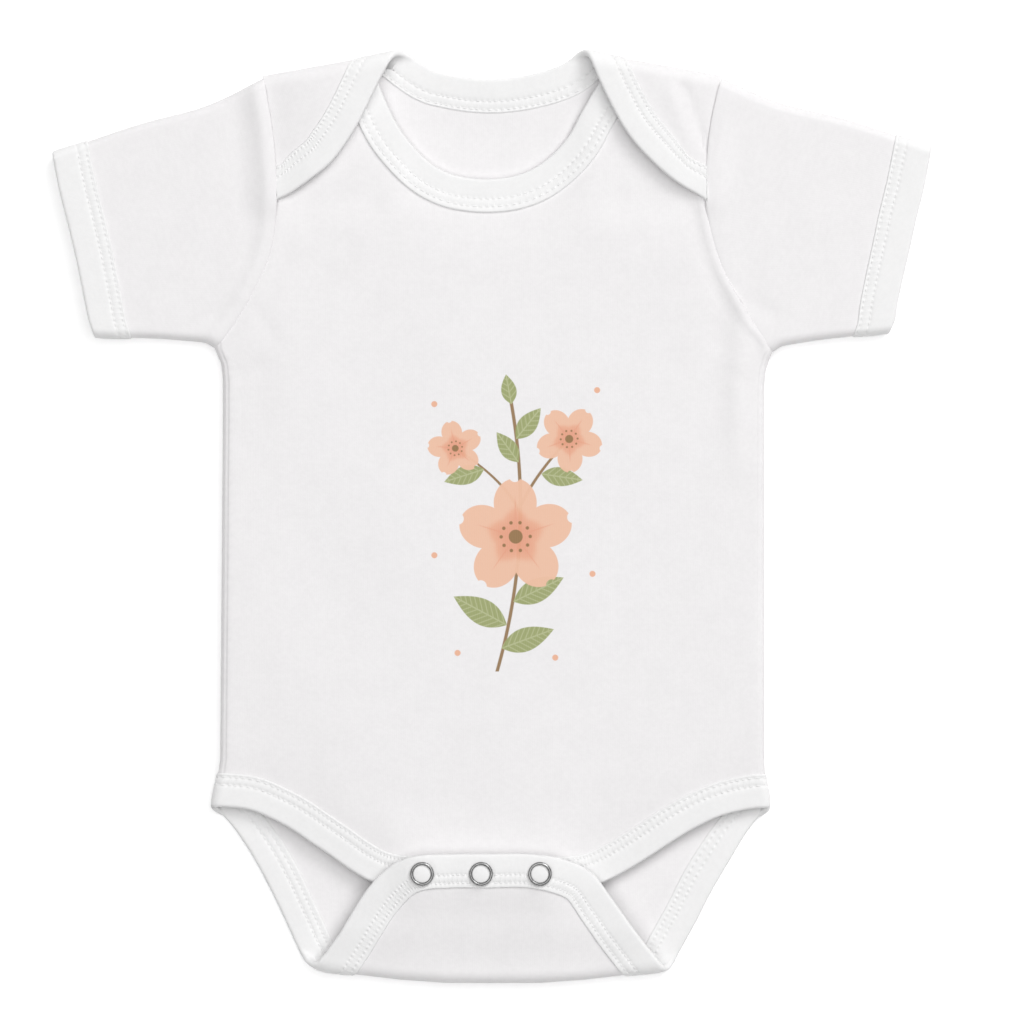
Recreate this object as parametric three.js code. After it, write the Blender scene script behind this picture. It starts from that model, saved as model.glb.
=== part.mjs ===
// A baby's short-sleeved bodysuit with lapped shoulders and three ring snaps at the crotch.
// It lies flat on its back, in millimetres: +X to the right, +Y towards the neck, +Z up.
// The cloth of each panel is drawn flat, as it was cut, and then folded where the garment folds.
import * as THREE from "three";

// Driving dimensions
const CLOTH = 1.0; // one layer of cloth
const LEG = 0.7; // each side of a binding that is folded over an edge
const GAP = 0.3; // clearance between neighbouring pieces
const BINDING_WIDTH = 14.6;
const HEM_WIDTH = 16.4;
const ROOM = 6.5; // height of the space between the back and the front
const CHEST_HALF_WIDTH = 118.0;
const SIDE_ROUNDING = 4.0; // radius on which the front turns down at a side seam
const UNDERARM_Y = 73.6;
const CROTCH_FOLD_Y = -199.0; // outermost line of the fold at the crotch
const SHOULDER_NECK = [39.0, 199.4]; // outermost line of the shoulder fold, at the neck
const SHOULDER_TIP = [98.6, 189.2]; // and at the armhole
const SNAP_DIAMETER = 10.2;
const SNAP_RING_WIDTH = 1.4;
const SNAP_SPACING = 25.3;
const SNAP_ROW = [-4.9, -152.7]; // the middle snap
const SNAP_HEIGHT = 2.4; // room for the stud and socket pressed together

// Levels of the layers, from the surface that the garment lies on
const WRAP = CLOTH / 2 + GAP + LEG; // half the thickness of a bound edge
const BACK_Z = WRAP;
const FRONT_Z = BACK_Z + CLOTH + ROOM;
const LAP_Z = FRONT_Z + 2 * WRAP + GAP;
const FLAP_Z = FRONT_Z + 2 * WRAP + SNAP_HEIGHT + 2 * GAP;
const EDGE_INSET = LEG + GAP; // the cloth ends this far inside a binding's outer edge

const BEND_STEPS = 10; // flats that make up a half turn of cloth
const EDGE_STEP = 8; // spacing of points along an edge
const BEND_ANGLE = 0.42; // turn between points along a bound edge in a fold, in radians
const BEYOND = 1000; // a distance past every edge of the cloth
const SEAM_STOP = 1; // seams' own points end this far short of a fold

const white = (name) => {
  const m = new THREE.MeshStandardMaterial({ color: 0xf1f0f1, roughness: 0.92, metalness: 0 });
  m.name = name;
  return m;
};
const metal = () => {
  const m = new THREE.MeshStandardMaterial({ color: 0xa3a5a8, roughness: 0.3, metalness: 1 });
  m.name = "snap_metal";
  return m;
};

const vec = ([x, y]) => new THREE.Vector2(x, y);

const toCurve = (points) =>
  new THREE.CatmullRomCurve3(points.map(([x, y]) => new THREE.Vector3(x, y, 0)), false, "centripetal");

// A smooth line through hand-chosen points, as Vector2s. They are close together in the given folds.
function smooth(points, folds = []) {
  const curve = toCurve(points);
  const length = curve.getLength();
  curve.arcLengthDivisions = 1000;
  curve.updateArcLengths();
  const line = [];
  for (let s = 0; s < length - EDGE_STEP / 4; ) {
    const { x, y } = curve.getPointAt(s / length);
    line.push(vec([x, y]));
    s += Math.min(EDGE_STEP, ...folds.map((f) => spacingAt(f, line.at(-1))));
  }
  const { x, y } = curve.getPointAt(1);
  return [...line, vec([x, y])];
}

// Unit direction along a line of points, at point i.
function along(points, i) {
  const from = points[Math.max(0, i - 1)];
  const to = points[Math.min(points.length - 1, i + 1)];
  return to.clone().sub(from).normalize();
}

// The direction to the left of a direction.
const leftOf = (d) => new THREE.Vector2(-d.y, d.x);

// The line moved to its left by a distance.
const shifted = (points, distance) =>
  points.map((p, i) => p.clone().addScaledVector(leftOf(along(points, i)), distance));

// A fold turns the cloth beyond a straight line about a radius. `start` is a point where the bend
// begins, `out` the flat direction that leaves the panel, `turn` the whole angle, and `rise` is 1
// where the cloth turns up and -1 where it turns down.
const fold = (start, out, radius, turn, rise) => ({
  start,
  out,
  radius,
  turn,
  rise,
  reach: (p) => p.clone().sub(start).dot(out),
});

// How far apart points may be at a place, for a fold to stay round under a binding's width.
function spacingAt(f, p) {
  const s = f.reach(p);
  const margin = f.slanted ? BINDING_WIDTH : EDGE_STEP;
  const near = f.holds(p) && s > -margin && s < f.radius * f.turn + margin;
  return near ? f.radius * BEND_ANGLE : EDGE_STEP;
}

// Where a point of the flat cloth lies once the panel is folded, and which way its inner face looks.
function folded(panel, p) {
  for (const f of panel.folds) {
    const s = f.reach(p);
    if (s <= 0 || !f.holds(p)) continue;
    const angle = Math.min(s / f.radius, f.turn);
    const past = s - angle * f.radius;
    const flat = f.radius * Math.sin(angle) + past * Math.cos(angle) - s;
    const lift = f.rise * (f.radius * (1 - Math.cos(angle)) + past * Math.sin(angle));
    const q = p.clone().addScaledVector(f.out, flat);
    return {
      point: new THREE.Vector3(q.x, q.y, panel.z + lift),
      normal: new THREE.Vector3(
        -f.rise * Math.sin(angle) * f.out.x,
        -f.rise * Math.sin(angle) * f.out.y,
        Math.cos(angle),
      ),
    };
  }
  return { point: new THREE.Vector3(p.x, p.y, panel.z), normal: new THREE.Vector3(0, 0, 1) };
}

// The flat point that a half turn brings over the place (x, y).
function unfolded(f, [x, y]) {
  const p = new THREE.Vector2(x, y);
  const s = f.reach(p);
  return p.addScaledVector(f.out, f.radius * f.turn - 2 * s).toArray();
}

// The part of an outline where dot(p, direction) is at most `limit`.
function clipped(outline, direction, limit) {
  const kept = [];
  outline.forEach((p, i) => {
    const q = outline[(i + 1) % outline.length];
    const a = p.dot(direction) - limit;
    const b = q.dot(direction) - limit;
    if (a <= 0) kept.push(p);
    if (a < 0 !== b < 0 && a !== 0 && b !== 0) kept.push(p.clone().lerp(q, a / (a - b)));
  });
  return kept;
}

// The flat outline cut at the middle and at the steps of each fold, so that every piece stays flat.
function facets(panel) {
  const pieces = [];
  for (const side of [-1, 1]) {
    const half = clipped(panel.outline, new THREE.Vector2(-side, 0), 0);
    let main = half;
    for (const f of panel.folds) {
      if (f.side && f.side !== side) continue;
      const back = f.out.clone().negate();
      const zero = f.start.dot(f.out);
      main = clipped(main, f.out, zero);
      const steps = Math.round((BEND_STEPS * f.turn) / Math.PI);
      const ends = [0];
      for (let i = 1; i <= steps; i++) ends.push((f.radius * f.turn * i) / steps);
      ends.push(BEYOND);
      for (let i = 1; i < ends.length; i++) {
        const strip = clipped(clipped(half, f.out, zero + ends[i]), back, -zero - ends[i - 1]);
        if (strip.length > 2) pieces.push(strip);
      }
    }
    pieces.push(main);
  }
  return pieces;
}

// A mesh geometry from a list of corners and a list of triangles.
function geometry(corners, triangles) {
  const g = new THREE.BufferGeometry();
  g.setAttribute("position", new THREE.Float32BufferAttribute(corners.flatMap((c) => c.toArray()), 3));
  g.setIndex(triangles.flat());
  g.computeVertexNormals();
  return g;
}

// A panel of cloth: its two faces and the edge between them.
function panelGeometry(panel) {
  const index = new Map();
  const corners = [];
  const cornerOf = (p) => {
    const key = p.x.toFixed(3) + " " + p.y.toFixed(3);
    if (!index.has(key)) {
      const { point, normal } = folded(panel, p);
      index.set(key, corners.length);
      corners.push(point.clone().addScaledVector(normal, CLOTH / 2));
      corners.push(point.clone().addScaledVector(normal, -CLOTH / 2));
    }
    return index.get(key);
  };
  const faces = [];
  for (const piece of facets(panel)) {
    for (const [a, b, c] of THREE.ShapeUtils.triangulateShape(piece, [])) {
      const t = [piece[a], piece[b], piece[c]].map(cornerOf);
      if (new Set(t).size < 3) continue;
      const turn = piece[b].clone().sub(piece[a]).cross(piece[c].clone().sub(piece[a]));
      faces.push(turn > 0 ? t : [t[0], t[2], t[1]]);
    }
  }
  const edges = new Map();
  for (const t of faces) {
    for (let i = 0; i < 3; i++) {
      const [a, b] = [t[i], t[(i + 1) % 3]];
      if (!edges.delete(b + " " + a)) edges.set(a + " " + b, [a, b]);
    }
  }
  const triangles = [];
  for (const [a, b, c] of faces) {
    triangles.push([a, b, c], [a + 1, c + 1, b + 1]);
  }
  for (const [a, b] of edges.values()) {
    triangles.push([a, a + 1, b], [b, a + 1, b + 1]);
  }
  return geometry(corners, triangles);
}

// Sections of the same closed profile joined one after the other. A profile runs anticlockwise as
// seen looking back along the line of sections. An open run gets an end cap at each end.
function loft(sections, cap) {
  const size = sections[0].length;
  const corners = sections.flat();
  const triangles = [];
  const links = cap ? sections.length - 1 : sections.length;
  for (let i = 0; i < links; i++) {
    const here = i * size;
    const next = ((i + 1) % sections.length) * size;
    for (let j = 0; j < size; j++) {
      const k = (j + 1) % size;
      triangles.push([here + j, here + k, next + k], [here + j, next + k, next + j]);
    }
  }
  if (cap) {
    const last = (sections.length - 1) * size;
    for (const [a, b, c] of THREE.ShapeUtils.triangulateShape(cap, [])) {
      triangles.push([a, c, b], [last + a, last + b, last + c]);
    }
  }
  return geometry(corners, triangles);
}

// The section of a binding folded over an edge, as [distance in from the edge, height].
function bindingProfile(width, splits) {
  const inner = CLOTH / 2 + GAP;
  const end = width - EDGE_INSET;
  const run = (from, to, height) =>
    Array.from({ length: splits + 1 }, (_, i) => [from + ((to - from) * i) / splits, height]);
  return [
    ...run(-EDGE_INSET, end, -WRAP),
    ...run(end, -GAP, -inner),
    ...run(-GAP, end, inner),
    ...run(end, -EDGE_INSET, WRAP),
  ];
}

// A binding along an edge of a panel, with the cloth on the left of the edge. Each end is cut along
// a given direction, such as a seam's, instead of square across.
function bindingGeometry(panel, edge, splits, startCut, endCut) {
  const profile = bindingProfile(BINDING_WIDTH, splits);
  const lean = (cut, d) => (cut ? cut.dot(d) / cut.dot(leftOf(d)) : 0);
  const count = edge.length - 1;
  const startLean = lean(startCut, along(edge, 0));
  const endLean = lean(endCut, along(edge, count));
  const fade = 6; // points over which the slant of an end dies away
  const sections = edge.map((p, i) => {
    const d = along(edge, i);
    const slant =
      startLean * Math.max(0, 1 - i / fade) + endLean * Math.max(0, 1 - (count - i) / fade);
    const across = leftOf(d).addScaledVector(d, slant);
    return profile.map(([a, n]) => {
      const { point, normal } = folded(panel, p.clone().addScaledVector(across, a));
      return point.addScaledVector(normal, n);
    });
  });
  return loft(sections, profile.map(vec));
}

// The back: body, two shoulder laps that fold over to the front, and the crotch flap that folds up.
const shoulderOut = vec([SHOULDER_NECK[1] - SHOULDER_TIP[1], SHOULDER_TIP[0] - SHOULDER_NECK[0]]);
shoulderOut.normalize();
const lapRadius = (LAP_Z - BACK_Z) / 2;
const flapRadius = (FLAP_Z - BACK_Z) / 2;
const shoulderFold = (side) => {
  const out = new THREE.Vector2(side * shoulderOut.x, shoulderOut.y);
  const start = vec([side * SHOULDER_TIP[0], SHOULDER_TIP[1]]);
  start.addScaledVector(out, -(lapRadius + CLOTH / 2));
  const f = fold(start, out, lapRadius, Math.PI, 1);
  f.side = side;
  f.slanted = true;
  f.holds = (p) => p.x * side > 0 && p.y > 0;
  return f;
};
const leftShoulder = shoulderFold(-1);
const rightShoulder = shoulderFold(1);
const crotchStart = vec([0, CROTCH_FOLD_Y + flapRadius + CLOTH / 2]);
const crotchFold = fold(crotchStart, vec([0, -1]), flapRadius, Math.PI, 1);
crotchFold.slanted = true;
crotchFold.holds = () => true;

const laps = {
  left: [[-94.0, 136.6], [-87.1, 139.3], [-78.5, 145.3], [-69.9, 152.2], [-57.8, 169.4], [-50.0, 185.0]],
  right: [[93.4, 135.4], [80.6, 143.2], [66.9, 154.8], [55.7, 168.6], [48.2, 182.5]],
};
const backNeck = [[24.7, 191.8], [16.1, 189.4], [-5.4, 187.5], [-18.3, 189.4], [-26.9, 192.2]];
const backNeckEdge = smooth(
  [
    ...laps.right.map((p) => unfolded(rightShoulder, p)),
    ...backNeck,
    ...laps.left.map((p) => unfolded(leftShoulder, p)).reverse(),
  ],
  [leftShoulder, rightShoulder],
);
const backLeg = [[-118.0, -127.8], [-112.9, -132.9], [-104.3, -143.6], [-95.7, -159.1], [-82.8, -187.0]];
const flapSide = [[-75.5, -191.3], [-65.1, -177.2], [-54.4, -160.0], [-44.5, -150.0], [-34.6, -145.6]];
const flapTop = [[-20.0, -144.4], [10.0, -144.4]];
const flapSideRight = [[26.5, -145.6], [37.0, -150.2], [47.5, -160.0], [58.7, -175.7], [71.5, -191.3]];
const backLegRight = [[80.6, -187.0], [93.5, -161.2], [103.0, -145.0], [110.9, -133.9], [118.0, -127.8]];
const backLegEdge = smooth(
  [
    ...backLeg,
    ...[...flapSide, ...flapTop, ...flapSideRight].map((p) => unfolded(crotchFold, p)),
    ...backLegRight,
  ],
  [crotchFold],
);

// The armhole seams, from the shoulder to the side, and where they run on the laps.
const leftArmhole = [
  [-98.6, 189.0], [-94.4, 164.0], [-93.0, 143.0], [-95.0, 120.0], [-103.3, 95.5], [-118.0, UNDERARM_Y],
];
const rightArmhole = leftArmhole.map(([x, y]) => [-x, y]);
const lapSeam = (points, f) =>
  smooth(points.slice(0, 3))
    .filter((p) => f.reach(p) < -SEAM_STOP)
    .map((p) => vec(unfolded(f, p.toArray())));
const bodySeam = (points, f) => smooth(points).filter((p) => f.reach(p) < -SEAM_STOP);

const backPanel = {
  z: BACK_Z,
  folds: [leftShoulder, rightShoulder, crotchFold],
  outline: [
    ...shifted(backLegEdge, EDGE_INSET),
    ...bodySeam(rightArmhole, rightShoulder).reverse(),
    ...lapSeam(rightArmhole, rightShoulder),
    ...shifted(backNeckEdge, EDGE_INSET),
    ...lapSeam(leftArmhole, leftShoulder).reverse(),
    ...bodySeam(leftArmhole, leftShoulder),
  ],
};

// The front: it ends under the laps at the shoulders, and turns down to the back at the side seams.
const SIDE_X = CHEST_HALF_WIDTH - SIDE_ROUNDING; // where the front starts to turn down
const quarter = (SIDE_ROUNDING * Math.PI) / 2;
const sideDrop = FRONT_Z - SIDE_ROUNDING - BACK_Z - CLOTH / 2 - GAP;
const wallFull = quarter + sideDrop; // reaches the back panel
const wallShort = quarter + sideDrop - (WRAP - CLOTH / 2); // reaches the back's leg binding
const BACK_BINDING_TOP_Y = -105; // the back's leg binding ends below this at the side
const sideFold = (side) => {
  const f = fold(vec([side * SIDE_X, 0]), vec([side, 0]), SIDE_ROUNDING, Math.PI / 2, -1);
  f.side = side;
  f.holds = () => true;
  return f;
};
const leftSide = sideFold(-1);
const rightSide = sideFold(1);
const frontNeckEdge = smooth(
  [
    [47.2, 190.6], [39.8, 177.2], [32.5, 164.3], [24.7, 155.7], [12.0, 148.2], [-3.0, 146.0],
    [-17.5, 148.2], [-30.5, 156.5], [-39.8, 168.6], [-50.4, 191.0],
  ],
);
const legAtSide = -124.6;
const frontLegEdge = smooth(
  [
    [-SIDE_X - wallShort, legAtSide], [-SIDE_X, legAtSide], [-104.3, -125.6], [-87.1, -133.7],
    [-69.9, -145.3], [-51.8, -156.6], [-38.0, -159.8], [0, -160.2], [34.0, -159.8], [47.8, -156.6],
    [67.7, -145.3], [85.6, -134.0], [103.0, -126.2], [SIDE_X, -124.9], [SIDE_X + wallShort, -124.9],
  ],
  [leftSide, rightSide],
);
const wallSide = (side) =>
  [
    [SIDE_X + wallShort, BACK_BINDING_TOP_Y - 1],
    [SIDE_X + wallFull, BACK_BINDING_TOP_Y],
    [SIDE_X + wallFull, UNDERARM_Y - GAP],
    [SIDE_X + SIDE_ROUNDING, UNDERARM_Y - GAP],
    [SIDE_X + 2, UNDERARM_Y + 2],
  ].map(([x, y]) => vec([side * x, y]));
const frontSeam = (points, f) => bodySeam(points, f).filter((p) => Math.abs(p.x) < SIDE_X - SEAM_STOP);
const frontPanel = {
  z: FRONT_Z,
  folds: [leftSide, rightSide],
  outline: [
    ...shifted(frontLegEdge, EDGE_INSET),
    ...wallSide(1),
    ...frontSeam(rightArmhole, rightShoulder).reverse(),
    ...shifted(frontNeckEdge, EDGE_INSET),
    ...frontSeam(leftArmhole, leftShoulder),
    ...wallSide(-1).reverse(),
  ],
};

// A sleeve is a flat tube from the armhole to the hem. A place in its cloth is given by the loop
// position round the tube, by how far it is from the hem, and by its height off the middle of the cloth.
const HEM_LINE = [[-187.4, 155.2], [-184.0, 139.5], [-177.0, 109.0], [-172.2, 86.0], [-169.6, 79.0]];
const TUBE_RADIUS = (FRONT_Z - BACK_Z) / 2;
const TUBE_MIDDLE = (FRONT_Z + BACK_Z) / 2;
const ROUND_STEPS = 6; // flats round each edge of the tube
const FLAT_STEPS = 8; // lengths of each flat side of the tube

// A point of a curve by its share of the length, carried on in a straight line past both ends.
function pointAt(curve, share) {
  const t = Math.min(1, Math.max(0, share));
  const p = curve.getPointAt(t);
  return share === t ? p : p.addScaledVector(curve.getTangentAt(t), (share - t) * curve.getLength());
}

const tubeLoop = [];
for (let i = 0; i <= FLAT_STEPS; i++) tubeLoop.push({ across: i / FLAT_STEPS, angle: Math.PI / 2 });
for (let i = 1; i < ROUND_STEPS; i++)
  tubeLoop.push({ across: 1, angle: Math.PI / 2 - (Math.PI * i) / ROUND_STEPS });
for (let i = FLAT_STEPS; i >= 0; i--) tubeLoop.push({ across: i / FLAT_STEPS, angle: -Math.PI / 2 });
for (let i = 1; i < ROUND_STEPS; i++)
  tubeLoop.push({ across: 0, angle: -Math.PI / 2 + (Math.PI * i) / ROUND_STEPS });

function sleeve(armholePoints, hemPoints) {
  const armhole = toCurve(armholePoints);
  const hem = toCurve(hemPoints);
  // `share` of the way from hem to armhole, or `inward` millimetres in from the hem.
  return ({ across, angle }, { share, inward }, height) => {
    const radius = TUBE_RADIUS + height;
    const centre = TUBE_RADIUS + CLOTH / 2;
    const bulge = (across === 0 ? -1 : 1) * Math.cos(angle) * radius;
    const place = (part) => {
      const width = hem.getLength() * (1 - part) + armhole.getLength() * part;
      const s = centre + (width - 2 * centre) * across + bulge;
      const h = pointAt(hem, s / width);
      return h.lerp(pointAt(armhole, s / width), part);
    };
    const part = share ?? inward / place(0).distanceTo(place(1));
    const p = place(part);
    p.z = TUBE_MIDDLE + radius * Math.sin(angle);
    return p;
  };
}

const SLEEVE_STEPS = 5;
function sleeveGeometry(place) {
  const steps = Array.from({ length: SLEEVE_STEPS + 1 }, (_, i) => i / SLEEVE_STEPS);
  const sections = tubeLoop.map((at) => [
    ...steps.map((share) => place(at, { share }, CLOTH / 2)),
    ...steps.toReversed().map((share) => place(at, { share }, -CLOTH / 2)),
  ]);
  return outward(loft(sections, null));
}
function hemGeometry(place) {
  const profile = bindingProfile(HEM_WIDTH, 2);
  const sections = tubeLoop.map((at) => profile.map(([a, n]) => place(at, { inward: a }, n)));
  return outward(loft(sections, null));
}

// Turns a closed geometry's faces outwards if they look in.
function outward(g) {
  const p = g.getAttribute("position");
  const index = g.index.array;
  const [a, b, c] = [new THREE.Vector3(), new THREE.Vector3(), new THREE.Vector3()];
  let volume = 0;
  for (let i = 0; i < index.length; i += 3) {
    a.fromBufferAttribute(p, index[i]);
    b.fromBufferAttribute(p, index[i + 1]);
    c.fromBufferAttribute(p, index[i + 2]);
    volume += a.dot(b.cross(c));
  }
  if (volume < 0) {
    for (let i = 0; i < index.length; i += 3) [index[i], index[i + 1]] = [index[i + 1], index[i]];
  }
  g.computeVertexNormals();
  return g;
}

// Ring snaps. Each is a prong ring on the flap, a socket under it, a stud on the front, and the
// stud's prong ring behind. A profile is [radius, height] round the snap's axis.
const RING = SNAP_DIAMETER / 2;
const RING_INNER = RING - SNAP_RING_WIDTH;
const RING_HEIGHT = 0.8;
const RING_BEVEL = 0.35;
const PLATE = 4.6; // radius of the stud's base and of the socket
const PLATE_HEIGHT = 0.6;
const POST = 1.6; // radius of the stud's post
const POST_HEIGHT = 1.7;
const POST_BEVEL = 0.3;
const SOCKET_HEIGHT = 1.5;
const SOCKET_DEPTH = 1.1; // of the hole that takes the post
const SOCKET_PLAY = 0.4; // round the post
const SNAP_SIDES = 16;
const ringProfile = [
  [RING_INNER, 0], [RING, 0], [RING, RING_HEIGHT - RING_BEVEL], [RING - RING_BEVEL, RING_HEIGHT],
  [RING_INNER + RING_BEVEL, RING_HEIGHT], [RING_INNER, RING_HEIGHT - RING_BEVEL], [RING_INNER, 0],
];
const socketProfile = [
  [0, SOCKET_DEPTH], [POST + SOCKET_PLAY, SOCKET_DEPTH], [POST + SOCKET_PLAY, 0], [PLATE, 0],
  [PLATE, SOCKET_HEIGHT], [0, SOCKET_HEIGHT],
];
const studProfile = [
  [0, 0], [PLATE, 0], [PLATE, PLATE_HEIGHT], [POST, PLATE_HEIGHT],
  [POST, POST_HEIGHT - POST_BEVEL], [POST - POST_BEVEL, POST_HEIGHT], [0, POST_HEIGHT],
];
const turned = (profile) => outward(new THREE.LatheGeometry(profile.map(vec), SNAP_SIDES).rotateX(Math.PI / 2));

function snapMeshes(side, x) {
  const pieces = [
    ["ring", ringProfile, FLAP_Z + WRAP + GAP, 1],
    ["socket", socketProfile, FLAP_Z - WRAP - GAP - SOCKET_HEIGHT, 1],
    ["stud", studProfile, FRONT_Z + WRAP + GAP, 1],
    ["back_ring", ringProfile, FRONT_Z - WRAP - GAP, -1],
  ];
  return pieces.map(([name, profile, z, up]) => {
    const mesh = new THREE.Mesh(turned(profile), metal());
    mesh.name = "snap_" + side + "_" + name;
    mesh.position.set(x, SNAP_ROW[1], z);
    if (up < 0) mesh.rotation.x = Math.PI;
    return mesh;
  });
}

const garment = new THREE.Group();
garment.name = "baby_bodysuit";
const add = (name, g, slot) => {
  const mesh = new THREE.Mesh(outward(g), white(slot));
  mesh.name = name;
  garment.add(mesh);
};

const shoulderRun = (side) => new THREE.Vector2(side * shoulderOut.y, -shoulderOut.x);
const sideRun = vec([0, 1]);
add("back_panel", panelGeometry(backPanel), "jersey");
add("front_panel", panelGeometry(frontPanel), "jersey");
add("neck_binding_back", bindingGeometry(backPanel, backNeckEdge, 6), "rib");
add("neck_binding_front", bindingGeometry(frontPanel, frontNeckEdge, 1, shoulderRun(1), shoulderRun(-1)), "rib");
add("leg_binding_back", bindingGeometry(backPanel, backLegEdge, 6, sideRun, sideRun), "rib");
add("leg_binding_front", bindingGeometry(frontPanel, frontLegEdge, 2), "rib");

const leftSleeve = sleeve(leftArmhole.map(([x, y]) => [x - GAP, y]), HEM_LINE);
const rightSleeve = sleeve(
  rightArmhole.map(([x, y]) => [x + GAP, y]),
  HEM_LINE.map(([x, y]) => [-x, y + 1.6]),
);
add("sleeve_left", sleeveGeometry(leftSleeve), "jersey");
add("sleeve_right", sleeveGeometry(rightSleeve), "jersey");
add("sleeve_hem_left", hemGeometry(leftSleeve), "rib");
add("sleeve_hem_right", hemGeometry(rightSleeve), "rib");

["left", "middle", "right"].forEach((side, i) =>
  garment.add(...snapMeshes(side, SNAP_ROW[0] + (i - 1) * SNAP_SPACING)),
);

export default garment;
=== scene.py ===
# %% [markdown]
# # A baby's bodysuit, laid flat
# The garment is cotton jersey: a back, a front and two short sleeves. Folded rib bindings finish the
# neck and the legs, rib bands finish the sleeves, and three ring snaps close the flap at the crotch.
# The CAD model holds the solids. This script dresses them with cloth that has seams, stitches, a knit
# and a print. Every length below is in millimetres until a mesh is made.

import math

import bpy
import numpy as np
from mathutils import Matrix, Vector
from mathutils.geometry import delaunay_2d_cdt


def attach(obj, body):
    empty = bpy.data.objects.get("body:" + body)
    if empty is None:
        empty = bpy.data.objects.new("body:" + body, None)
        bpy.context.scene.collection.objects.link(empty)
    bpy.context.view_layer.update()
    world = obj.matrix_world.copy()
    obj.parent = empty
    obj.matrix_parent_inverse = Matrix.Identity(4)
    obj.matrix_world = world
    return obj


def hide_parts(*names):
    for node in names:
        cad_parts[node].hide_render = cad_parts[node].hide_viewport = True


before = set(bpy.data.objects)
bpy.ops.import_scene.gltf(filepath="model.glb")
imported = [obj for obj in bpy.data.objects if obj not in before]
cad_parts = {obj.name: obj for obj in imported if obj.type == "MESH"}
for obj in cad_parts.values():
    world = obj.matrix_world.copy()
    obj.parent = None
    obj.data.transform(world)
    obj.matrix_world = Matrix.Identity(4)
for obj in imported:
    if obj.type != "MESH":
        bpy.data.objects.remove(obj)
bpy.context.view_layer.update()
MM = 0.001
print("CAD nodes:", len(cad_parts))

# %% [markdown]
# ## Camera
# The garment is photographed from straight above. A long lens keeps its thick edges from showing
# their sides, as a copy stand does, so the camera is high and looks straight down.

# %% Camera
VIEW_CENTRE = (8.4, 2.6)
VIEW_WIDTH = 440.3
VIEW_HEIGHT = 9.0  # the level at which the view has that width
LENS = 300.0
SENSOR = 36.0

camera_data = bpy.data.cameras.new("copy_stand")
camera_data.lens = LENS
camera_data.sensor_width = SENSOR
camera = bpy.data.objects.new("copy_stand", camera_data)
bpy.context.scene.collection.objects.link(camera)
camera_height = VIEW_HEIGHT + VIEW_WIDTH * LENS / SENSOR
camera.location = (VIEW_CENTRE[0] * MM, VIEW_CENTRE[1] * MM, camera_height * MM)
bpy.context.scene.camera = camera
print("camera height in mm:", round(camera_height))

# %% [markdown]
# ## Lines
# A pattern cutter draws a panel with a few points and a flexible curve through them. The same is done
# here: a centripetal Catmull-Rom curve goes through every point without overshooting, and is then cut
# into even steps so that stitches and meshes can be spaced along it.


# %% Curves through given points
def evenly(line, spacing):
    """The same line with its points at even steps."""
    steps = np.linalg.norm(np.diff(line, axis=0), axis=1)
    travelled = np.concatenate([[0], np.cumsum(steps)])
    count = max(3, round(travelled[-1] / spacing) + 1)
    at = np.linspace(0, travelled[-1], count)
    return np.column_stack([np.interp(at, travelled, line[:, k]) for k in (0, 1)])


def smooth(points, spacing=1.5):
    """A curve through the points, in even steps."""
    p = np.array(points, float)
    p = np.vstack([2 * p[0] - p[1], p, 2 * p[-1] - p[-2]])
    knot = np.sqrt(np.linalg.norm(np.diff(p, axis=0), axis=1))
    t = np.linspace(0, 1, 24, endpoint=False)[:, None]
    runs = []
    for i in range(1, len(p) - 2):
        a, b, c, d = p[i - 1 : i + 3]
        k0, k1, k2 = knot[i - 1 : i + 2]
        leaving = ((b - a) / k0 - (c - a) / (k0 + k1) + (c - b) / k1) * k1
        arriving = ((c - b) / k1 - (d - b) / (k1 + k2) + (d - c) / k2) * k1
        ends = (2 * t**3 - 3 * t**2 + 1) * b + (3 * t**2 - 2 * t**3) * c
        runs.append(ends + (t**3 - 2 * t**2 + t) * leaving + (t**3 - t**2) * arriving)
    return evenly(np.vstack([*runs, p[-2:-1]]), spacing)


def left_of(line):
    """Unit vectors to the left of a line, one for each of its points."""
    run = np.gradient(line, axis=0)
    run /= np.linalg.norm(run, axis=1)[:, None]
    return np.column_stack([-run[:, 1], run[:, 0]])


def distance(p, line):
    """How far each point is from a line of points."""
    start = line[:-1]
    run = line[1:] - start
    found = []
    for some in np.array_split(p, len(p) // 3000 + 1):
        reach = some[:, None] - start
        share = np.clip((reach * run).sum(-1) / (run**2).sum(-1), 0, 1)
        found.append(np.sqrt(((reach - share[..., None] * run) ** 2).sum(-1).min(1)))
    return np.concatenate(found)


def ease(t):
    """A soft step from 0 to 1."""
    t = np.clip(t, 0, 1)
    return t * t * (3 - 2 * t)


def bell(d, width):
    """1 where `d` is 0, fading on both sides over about `width`."""
    return np.exp(-((d / width) ** 2))


# %% [markdown]
# ## How the cloth lies
# Each panel is drawn flat, as it was cut, and a function says where every flat point ends up. The
# back is the busy one: at each shoulder it folds over onto the front as a lap, and at the crotch it
# folds up as the snap flap. A fold in lying cloth is about half an ellipse, so a point's plan follows
# a circle while its height goes smoothly from the lower layer to the upper one. Working from the
# flat drawing keeps the cloth its true size: nothing stretches where it turns.

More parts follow.
